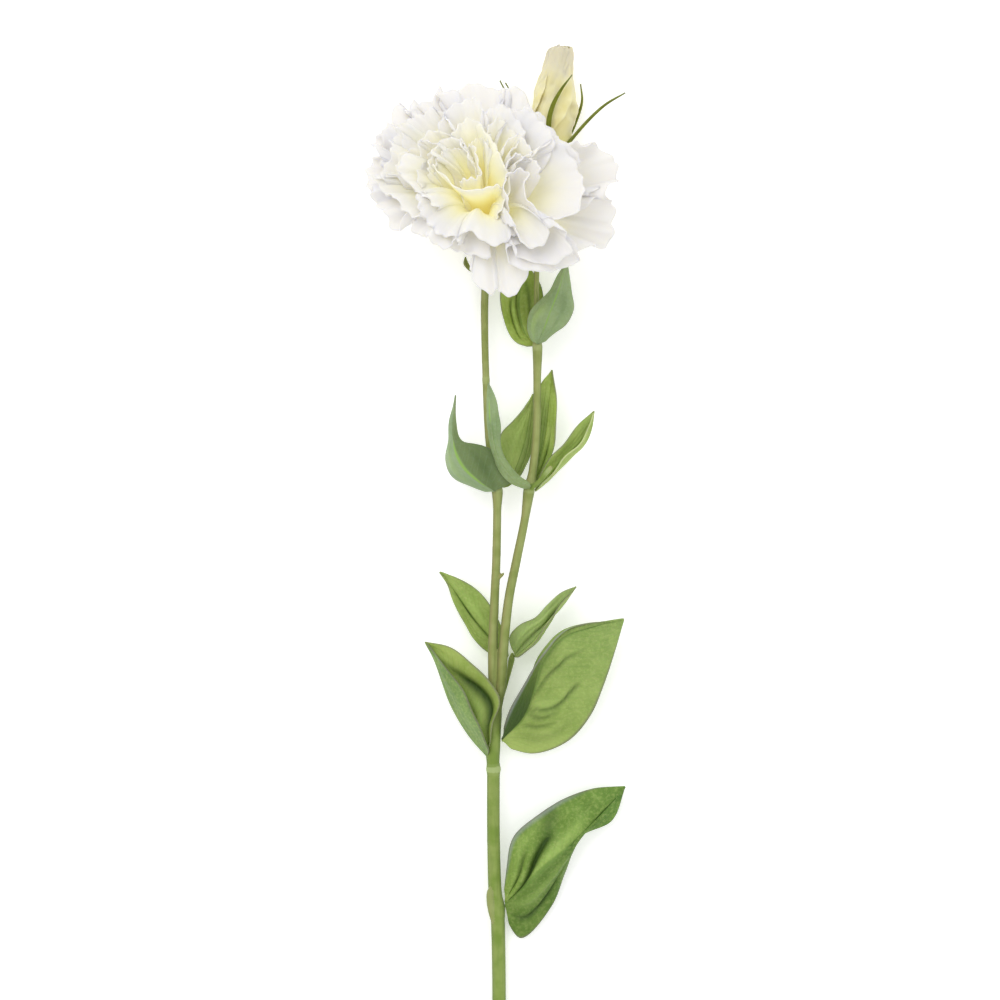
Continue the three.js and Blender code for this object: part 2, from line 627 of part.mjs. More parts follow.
function budGeometry() {
  const height = budProfile[budProfile.length - 2][1];
  const relief = (h, turn) => {
    const share = clamp01(h / height);
    const spiral = (turn / (2 * Math.PI) + share * budFurlTurn) * budFurls;
    const edge = spiral - Math.floor(spiral);
    return budFurlStep * (edge - 0.5) * Math.sin(Math.PI * share ** 0.7);
  };
  return fused([turnedSolid(budProfile, budSides, budBase, budAxis, relief)]);
}

// ---- the whole cut stem ----
const cutStem = new THREE.Group();

function add(name, geometry, colour, roughness) {
  geometry.computeVertexNormals();
  const material = new THREE.MeshStandardMaterial({ color: colour, roughness, metalness: 0 });
  const mesh = new THREE.Mesh(geometry, material);
  mesh.name = name;
  cutStem.add(mesh);
}

const allShoots = Object.values(shoots);
add("stem", fused(allShoots.map((points) => shootSolid(points))), colours.stem, 0.55);
const stemRoom = wasm.Manifold.union(allShoots.map((points) => shootSolid(points, jointGap)));
for (const [name, sections] of Object.entries(leaves))
  add(name, fused([leafSolid(sections).subtract(stemRoom)]), colours.leaf, 0.5);
add("bloom_calyx", calyxGeometry(bloomCalyx, bloomBase, bloomAxis, () => 0), colours.calyx, 0.6);
add("bloom", bloomGeometry(), colours.petal, 0.7);
const budRadius = (height) => profileRadius(budProfile, height);
add("bud_calyx", calyxGeometry(budCalyx, budBase, budAxis, budRadius), colours.calyx, 0.6);
add("bud", budGeometry(), colours.bud, 0.7);

// The origin is on the surface, under the middle of the footprint.
const reach = new THREE.Box3().setFromObject(cutStem);
const middle = reach.getCenter(new THREE.Vector3());
cutStem.position.set(-middle.x, -middle.y, -reach.min.z);

export default cutStem;
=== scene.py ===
import math
import random

import bpy
import numpy as np
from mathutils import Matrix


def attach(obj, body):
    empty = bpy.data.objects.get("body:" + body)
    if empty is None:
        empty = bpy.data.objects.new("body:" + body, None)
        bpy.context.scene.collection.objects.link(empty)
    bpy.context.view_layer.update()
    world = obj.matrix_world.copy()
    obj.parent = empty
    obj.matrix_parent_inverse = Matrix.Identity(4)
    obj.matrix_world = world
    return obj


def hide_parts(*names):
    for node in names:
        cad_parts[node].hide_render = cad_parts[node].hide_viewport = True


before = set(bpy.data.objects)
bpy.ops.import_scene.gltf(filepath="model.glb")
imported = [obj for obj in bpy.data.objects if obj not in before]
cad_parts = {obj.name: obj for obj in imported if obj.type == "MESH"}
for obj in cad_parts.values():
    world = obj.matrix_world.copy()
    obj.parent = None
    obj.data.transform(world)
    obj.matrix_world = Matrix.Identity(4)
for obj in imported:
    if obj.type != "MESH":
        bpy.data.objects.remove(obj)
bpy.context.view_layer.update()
print("frame loaded:", len(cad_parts), "nodes")

# Shapes are worked out in millimetres from the middle of the cut end, with the stem along +Y,
# and moved to the frame's own origin when they become meshes.
mm = 0.001
fullTurn = 2 * math.pi
placement = {
    "moved": (1.55, -189.8, 0.0),
    "pressHeight": 6.0,  # blades bend flat below this height
    "floorClear": 0.45,
}


def pressed(points):
    room = placement["pressHeight"] - placement["floorClear"]
    z = points[:, 2]
    low = placement["floorClear"] + room * np.exp(np.minimum(0, z - placement["pressHeight"]) / room)
    points[:, 2] = np.where(z >= placement["pressHeight"], z, low)
    return points


def smoothLine(points, t):
    # follows the points, each stretch between two of them taking the same share of t
    p = np.asarray(points, float)
    last = len(p) - 1
    p = np.vstack([2 * p[0] - p[1], p, 2 * p[-1] - p[-2]])
    x = np.clip(np.asarray(t, float), 0, 1) * last
    k = np.minimum(x.astype(int), last - 1)
    w = (x - k)[:, None]
    p0, p1, p2, p3 = p[k], p[k + 1], p[k + 2], p[k + 3]
    # the tangents allow for uneven gaps, so that no loop forms beside a short one
    d0, d1, d2 = (
        np.maximum(((b - a)[:, :3] ** 2).sum(1) ** 0.25, 1e-4)[:, None]
        for a, b in ((p0, p1), (p1, p2), (p2, p3))
    )
    t1 = ((p1 - p0) / d0 - (p2 - p0) / (d0 + d1) + (p2 - p1) / d1) * d1
    t2 = ((p2 - p1) / d1 - (p3 - p1) / (d1 + d2) + (p3 - p2) / d2) * d1
    return p1 + t1 * w + (3 * p2 - 3 * p1 - 2 * t1 - t2) * w**2 + (2 * p1 - 2 * p2 + t1 + t2) * w**3


def softNoise(seed, x, y):
    # a smooth random field of about -1 to 1, from a few waves
    waves, longest, shortest, height = 6, 0.6, 1.7, 2.6
    draw = random.Random(seed)
    total = np.zeros_like(x)
    for _ in range(waves):
        turn = draw.uniform(0, fullTurn)
        step = draw.uniform(longest, shortest)
        total += np.sin(step * (x * math.cos(turn) + y * math.sin(turn)) + draw.uniform(0, fullTurn))
    return total / height


def bump(x, middle, width):
    return np.exp(-(((x - middle) / width) ** 2))


def smoothStep(a, b, x):
    t = np.clip((x - a) / (b - a), 0, 1)
    return t * t * (3 - 2 * t)


def unit(vectors):
    return vectors / np.maximum(np.linalg.norm(vectors, axis=1, keepdims=True), 1e-9)


class Wire:
    # wraps a socket so that sums on it add their Math nodes
    def __init__(self, tree, socket):
        self.tree = tree
        self.socket = socket

    def maths(self, operation, *values):
        return nodeIn(self.tree, "ShaderNodeMath", {"operation": operation}, values)

    def __add__(self, other):
        return self.maths("ADD", self, other)

    def __sub__(self, other):
        return self.maths("SUBTRACT", self, other)

    def __rsub__(self, other):
        return self.maths("SUBTRACT", other, self)

    def __mul__(self, other):
        return self.maths("MULTIPLY", self, other)

    def __abs__(self):
        return self.maths("ABSOLUTE", self)

    __radd__ = __add__
    __rmul__ = __mul__

    def fraction(self):
        return self.maths("FRACT", self)

    def within(self, low, high):
        # 0 below low, 1 above high, smooth between
        inputs = {"Value": self, "From Min": low, "From Max": high}
        return nodeIn(self.tree, "ShaderNodeMapRange", {"interpolation_type": "SMOOTHSTEP"}, inputs)


def nodeIn(tree, kind, settings=None, inputs=None, output=0):
    # the node's settings are set first, and then the values or links of its sockets
    node = tree.nodes.new(kind)
    for key, value in (settings or {}).items():
        setattr(node, key, value)
    pairs = inputs.items() if isinstance(inputs, dict) else enumerate(inputs or [])
    for key, value in pairs:
        if isinstance(value, Wire):
            tree.links.new(value.socket, node.inputs[key])
        else:
            node.inputs[key].default_value = value
    return Wire(tree, node.outputs[output])


def linear(colour):
    # colours are written as on a screen, 0 to 255
    shares = [c / 255 for c in colour]
    return (*(c / 12.92 if c <= 0.04045 else ((c + 0.055) / 1.055) ** 2.4 for c in shares), 1)


def mixColours(share, first, second):
    first, second = (c if isinstance(c, Wire) else linear(c) for c in (first, second))
    return nodeIn(share.tree, "ShaderNodeMix", {"data_type": "RGBA"}, {0: share, 6: first, 7: second}, 2)


def coated(colour, *coats):
    # each coat is how much of it shows, and its colour
    for share, coat in coats:
        colour = mixColours(share, colour, coat)
    return colour


def attributes(tree, *names):
    return [nodeIn(tree, "ShaderNodeAttribute", {"attribute_name": name}, output=2) for name in names]


def noise(tree, place, scale, detail, roughness=0.5):
    inputs = {"Vector": place, "Scale": scale, "Detail": detail, "Roughness": roughness}
    return nodeIn(tree, "ShaderNodeTexNoise", {}, inputs)


def raised(strength, distance, height):
    inputs = {"Strength": strength, "Distance": distance * mm, "Height": height}
    return nodeIn(height.tree, "ShaderNodeBump", {}, inputs)


def newMaterial(name, constants):
    material = bpy.data.materials.new(name)
    material.use_nodes = True
    tree = material.node_tree
    shader = tree.nodes["Principled BSDF"]
    for key, value in constants.items():
        shader.inputs[key].default_value = value
    return material, tree, shader


def newSkin(name, constants):
    # a material, its node tree, its shader, and the place on the object
    material, tree, shader = newMaterial(name, constants)
    return material, tree, shader, nodeIn(tree, "ShaderNodeTexCoord", output=3)


def feed(tree, shader, **links):
    names = {"colour": "Base Color", "roughness": "Roughness", "normal": "Normal", "glow": "Emission Color"}
    for key, wire in links.items():
        tree.links.new(wire.socket, shader.inputs[names[key]])


def onlySelect(*pieces):
    bpy.ops.object.select_all(action="DESELECT")
    for piece in pieces:
        piece.select_set(True)
    bpy.context.view_layer.objects.active = pieces[0]


def cornersOf(piece):
    corners = np.zeros(len(piece.data.vertices) * 3)
    piece.data.vertices.foreach_get("co", corners)
    return corners.reshape(-1, 3)


def placeCorners(piece, points):
    corners = (points + placement["moved"]) * mm
    piece.data.vertices.foreach_set("co", corners.astype(np.float32).ravel())
    piece.data.update()


def newGrid(name, columns, rows):
    # a flat grid, with the place across (-1 to 1) and along (0 to 1) of each corner
    bpy.ops.object.select_all(action="DESELECT")
    bpy.ops.mesh.primitive_grid_add(x_subdivisions=columns, y_subdivisions=rows, size=2, calc_uvs=True)
    grid = bpy.context.object
    grid.name = name
    corners = cornersOf(grid)
    return grid, corners[:, 0].copy(), (corners[:, 1] + 1) / 2


def keepValues(piece, **values):
    # each value is one number for the whole piece or one for each corner
    for name, field in values.items():
        layer = piece.data.attributes.new(name, "FLOAT", "POINT")
        layer.data.foreach_set("value", np.broadcast_to(field, len(layer.data)).astype(np.float32))


def applied(piece, kind, **settings):
    onlySelect(piece)
    modifier = piece.modifiers.new(kind.title(), kind)
    for key, value in settings.items():
        setattr(modifier, key, value)
    bpy.ops.object.modifier_apply(modifier=modifier.name)


def thickened(piece, thickness, **settings):
    applied(piece, "SOLIDIFY", thickness=thickness * mm, offset=0, use_even_offset=False, **settings)


def newSheet(name, grid, thickness, surface, **values):
    # a grid bent to a surface and given its thickness
    sheet, u, v = newGrid(name, *grid)
    placeCorners(sheet, surface(u, v))
    keepValues(sheet, across=u, along=v, **values)
    thickened(sheet, thickness)
    return sheet


def rolled(name, around, rows, place):
    # a grid rolled up, each corner placed by its row and its turn, and sewn at its seam and ends
    grid, u, v = newGrid(name, around, rows)
    placeCorners(grid, place(np.rint(v * rows).astype(int), math.pi * (u + 1)))
    onlySelect(grid)
    bpy.ops.object.mode_set(mode="EDIT")
    bpy.ops.mesh.select_all(action="SELECT")
    bpy.ops.mesh.remove_doubles(threshold=1e-6)
    bpy.ops.mesh.normals_make_consistent(inside=False)
    bpy.ops.object.mode_set(mode="OBJECT")
    return grid


def joined(name, pieces):
    onlySelect(*pieces)
    bpy.ops.object.join()
    piece = bpy.context.object
    piece.name = name
    piece.data.name = name
    return piece


def finished(piece, materialSlot, nodes, *materials):
    onlySelect(piece)
    bpy.ops.object.shade_smooth()
    piece.data.materials.clear()
    for material in materials:
        piece.data.materials.append(material)
    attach(piece, "root")
    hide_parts(*nodes)


stemLook = {
    "around": 24,
    "spacing": 1.1,
    "ridges": 4,
    "ridge": 0.035,  # how far they stand out, as a share of the radius
    "voxel": 0.36,
    "ease": 4,  # rounds of smoothing where the shoots meet
    "batches": 60,  # of corners, as each looks for the station nearest to it
    "ringWidth": 0.8,
    "cutFade": 60,  # how fast the colour of the cut end fades along the main shoot
    "blushEdges": (0.1, -0.9),  # where the brown starts and is full, from the left side to the right
    "fresh": [(112, 144, 50), (136, 160, 76)],  # darker and lighter patches where it is green
    "olive": [(142, 150, 84), (162, 168, 108)],  # and where it is olive
    "streak": (108, 128, 66),
    "blush": (146, 118, 84),
    # painted shade on both flanks of each shoot, deepest at its edges as seen from above
    "sides": (84, 104, 58),
    "ring": (184, 200, 140),
    "cut": (160, 138, 96),
}
# Each shoot: how olive it is at its start and end, how brown it is along its left side, and its points
# with the radius there. Rings are where pale rings go round it, and how pale. Pale and cut are how much
# of those colours it has, and the shares along it where that starts and is full.
shoots = {
    "main": {
        "tints": (0.1, 0.3, 0.12), "rings": [(133, 1.0)],
        "points": [
            (0, 0, 2.3, 2.3), (0, 30, 2.4, 2.3), (0, 60, 2.9, 2.3), (-0.4, 80.5, 4, 2.35),
            (-0.7, 84.9, 4.2, 2.8), (-1.3, 90, 4.6, 2.25), (-1.9, 112, 6, 2.15),
            (-1.9, 131.4, 7.3, 2.15), (-1.9, 132.3, 7.4, 2.55), (-1.9, 133.6, 7.5, 2.5),
            (-2, 134.6, 7.6, 2.1), (-2.1, 140, 8.1, 2.5), (-1.7, 150, 8.9, 2.6), (-1, 157, 9.5, 2.1),
        ],
    },
    "bloomBranch": {
        "tints": (0.7, 0.9, 0.5), "rings": [(228.4, 0.5), (265.8, 0.6)],
        "points": [
            (-1.4, 150, 8.8, 1.6), (-1.9, 162, 9.5, 1.75), (-2.1, 174, 10, 1.65),
            (-1.5, 191, 10.5, 1.5), (-0.9, 204.6, 11, 1.45), (-0.6, 222, 11.7, 1.4),
            (-0.6, 228.1, 11.6, 1.95), (-1.4, 233, 11.4, 1.35), (-3.2, 243, 10.6, 1.25),
            (-4.1, 255.6, 8.9, 1.2), (-4.4, 264.5, 7.5, 1.2), (-4.45, 266, 7.3, 1.4),
            (-4.5, 267.5, 7.1, 1.2), (-4.9, 283, 5, 1.25), (-4.9, 294, 3.1, 1.3),
            (-4.6, 299.6, 3.4, 1.4), (-4.25, 302.78, 5.58, 1.6),
        ],
    },
    "budBranch": {
        "tints": (0.7, 0.9, 0.45), "rings": [(228.4, 0.5), (276.8, 0.6)],
        "points": [
            (-1.4, 150, 9.2, 1.6), (0.7, 162, 10.4, 1.75), (1.5, 174, 11.4, 1.65),
            (3.3, 191, 12.1, 1.55), (6, 204.6, 12.5, 1.5), (8.9, 219, 12.9, 1.4),
            (10.2, 228.1, 13, 1.95), (11.4, 234.5, 13.1, 1.4), (12.8, 248.8, 13, 1.35),
            (13, 265.8, 12.6, 1.3), (13.1, 277.4, 12, 1.75), (12.9, 281.5, 11.8, 1),
            (12.8, 293, 10.8, 0.95), (13.1, 306.6, 9.6, 0.95), (15.4, 323.6, 8.6, 1),
            (18.8, 335.5, 7.95, 1.05), (19.6, 340.2, 7.95, 1.3),
        ],
    },
    "sideShoot": {
        "tints": (0.4, 0.4, 0.1),
        "points": [
            (-0.6, 152.5, 7.6, 0.9), (1.2, 158, 6.6, 0.75), (3, 164, 5.6, 0.7), (4.3, 170.3, 5, 1.15),
            (4.7, 172.6, 4.8, 0.5),
        ],
    },
    "trimmedLeaf": {
        "tints": (0.6, 0.9, 0.5), "pale": (0.2, -1, 0),
        "points": [
            (-1.2, 79, 4.6, 1), (-2.2, 83, 5.4, 1.3), (-2.9, 87, 6, 1.35), (-3.1, 90, 6.2, 1.25),
            (-3, 91.8, 6.2, 0.8),
        ],
    },
    "trimmedShoot": {
        "tints": (0.3, 0.3, 0), "pale": (1, 0.6, 0.9), "cut": (0.4, 0.85, 1),
        "points": [
            (10.6, 228.6, 14, 0.9), (13.6, 231.4, 16.4, 0.8), (17, 235.4, 18.2, 0.85),
            (17.8, 236.3, 18.5, 0.7),
        ],
    },
    "nub": {
        "tints": (1, 1, 1),
        "points": [(-0.9, 198, 11, 0.8), (1.1, 199.4, 11.4, 0.55), (1.7, 200.2, 11.5, 0.35)],
    },
}


def shootStations(points):
    # even stations along a shoot: centre and radius
    samples = 1000
    points = np.array(points, float)
    t = np.linspace(0, 1, samples)
    line = smoothLine(points[:, :3], t)
    run = np.concatenate([[0], np.cumsum(np.linalg.norm(np.diff(line, axis=0), axis=1))])
    count = max(4, round(run[-1] / stemLook["spacing"]))
    share = np.interp(np.linspace(0, run[-1], count + 1), run, t)
    radius = np.interp(share * (len(points) - 1), np.arange(len(points)), points[:, 3])
    return smoothLine(points[:, :3], share), radius


def tube(name, centres, radii):
    # a grid rolled round a line, with both ends closed flat
    centres = np.vstack([centres[:1], centres, centres[-1:]])
    radii = np.concatenate([[0], radii, [0]])
    tangents = np.gradient(centres[1:-1], axis=0)
    tangents = unit(np.vstack([tangents[:1], tangents, tangents[-1:]]))
    sides = [np.array([1.0, 0, 0])]
    for tangent in tangents:
        side = sides[-1] - tangent * np.dot(sides[-1], tangent)
        sides.append(side / np.linalg.norm(side))
    sides = np.array(sides[1:])
    others = np.cross(tangents, sides)

    def place(row, turn):
        radius = radii[row] * (1 + stemLook["ridge"] * np.cos(stemLook["ridges"] * turn))
        aside, over = ((radius * reach)[:, None] for reach in (np.cos(turn), np.sin(turn)))
        return centres[row] + aside * sides[row] + over * others[row]

    return rolled(name, stemLook["around"], len(centres) - 1, place)


def skinFacts(name, line, radii):
    # at each station: radius, and how olive, brown, cut and pale the skin is
    shoot = shoots[name]
    share = np.linspace(0, 1, len(line))

    def part(amount, start, full):
        return amount * smoothStep(start, full, share)

    start, end, brown = shoot["tints"]
    cut = np.exp(-share * stemLook["cutFade"]) if name == "main" else part(*shoot.get("cut", (0, 0, 1)))
    ring = part(*shoot.get("pale", (0, 0, 1)))
    for at, pale in shoot.get("rings", []):
        ring = ring + bump(line[:, 1], at, stemLook["ringWidth"]) * pale
    return np.column_stack([radii, start + (end - start) * share, brown * (1 - 0.6 * share), cut, ring])


def makeStem():
    tubes, centres, facts = [], [], []
    for name, shoot in shoots.items():
        line, radii = shootStations(shoot["points"])
        tubes.append(tube(name, line, radii))
        centres.append(line)
        facts.append(skinFacts(name, line, radii))
    stem = joined("stem_shoots", tubes)
    applied(stem, "REMESH", mode="VOXEL", voxel_size=stemLook["voxel"] * mm)
    applied(stem, "SMOOTH", factor=0.5, iterations=stemLook["ease"])
    centres, facts = np.vstack(centres), np.vstack(facts)
    corners = cornersOf(stem) / mm - placement["moved"]
    # each corner takes the facts of the station whose skin is nearest
    nearest = np.concatenate([
        np.argmin(((part[:, None] - centres[None]) ** 2).sum(2) - facts[None, :, 0] ** 2, axis=1)
        for part in np.array_split(corners, stemLook["batches"])
    ])
    radius, olive, brown, cut, ring = facts[nearest].T
    side = (corners[:, 0] - centres[nearest, 0]) / radius
    blush = brown * smoothStep(*stemLook["blushEdges"], side)
    keepValues(stem, olive=olive, blush=blush, cut=cut, side=side, ring=ring)
    return stem


def stemMaterial():
    material, tree, shader, place = newSkin("stem_skin", {"Roughness": 0.5, "Specular IOR Level": 0.2})
    olive, blush, side, ring, cut = attributes(tree, "olive", "blush", "side", "ring", "cut")
    stretched = nodeIn(tree, "ShaderNodeMapping", {}, {"Vector": place, "Scale": (1600, 60, 1600)})
    streaks = noise(tree, stretched, 1.0, 4.0)
    patches = noise(tree, place, 160.0, 5.0)
    green = mixColours(patches.within(0.35, 0.65), *stemLook["fresh"])
    colour = coated(
        mixColours(olive, green, mixColours(patches.within(0.3, 0.7), *stemLook["olive"])),
        (streaks.within(0.45, 0.75) * 0.35, stemLook["streak"]),
        (blush * (patches.within(0.3, 0.6) * 0.6 + 0.4), stemLook["blush"]),
        # painted shade towards both flanks of the shoot
        (abs(side).within(0.55, 1.0) * 0.4, stemLook["sides"]),
        (ring * 0.6, stemLook["ring"]),
        (cut, stemLook["cut"]),
    )
    feed(tree, shader, colour=colour, roughness=patches * 0.3 + 0.38, normal=raised(0.35, 0.3, streaks))
    return material


stem = makeStem()
finished(stem, "stem", ["stem"], stemMaterial())
print("stem made:", len(stem.data.polygons), "faces")

# What all leaves share, where a leaf's own line below doesn't say otherwise.
leafLook = {
    "grid": (40, 88),
    "thickness": 0.5,
    "blunt": 0.997,
    "rib": 0.3,
    "ribWidth": 0.05,
    "veins": (0.3, 0.56, 0.78),
    "veinDepth": 0.13,
    "veinWidth": 0.035,
    "ripple": (0.07, 52, 0.3),  # height, number along and how far they slant
    "uneven": (0.3, 5, 12),  # height, waves across and along
    "wave": (0.35, 15, 4),  # of the margins: height, waves along and across
    "under": False,
    "grey": (2, 3),  # nowhere, as no place across is past 1
    "fade": (0.9, 0.5),
    "rims": (0, 0),
    "creases": [],
}
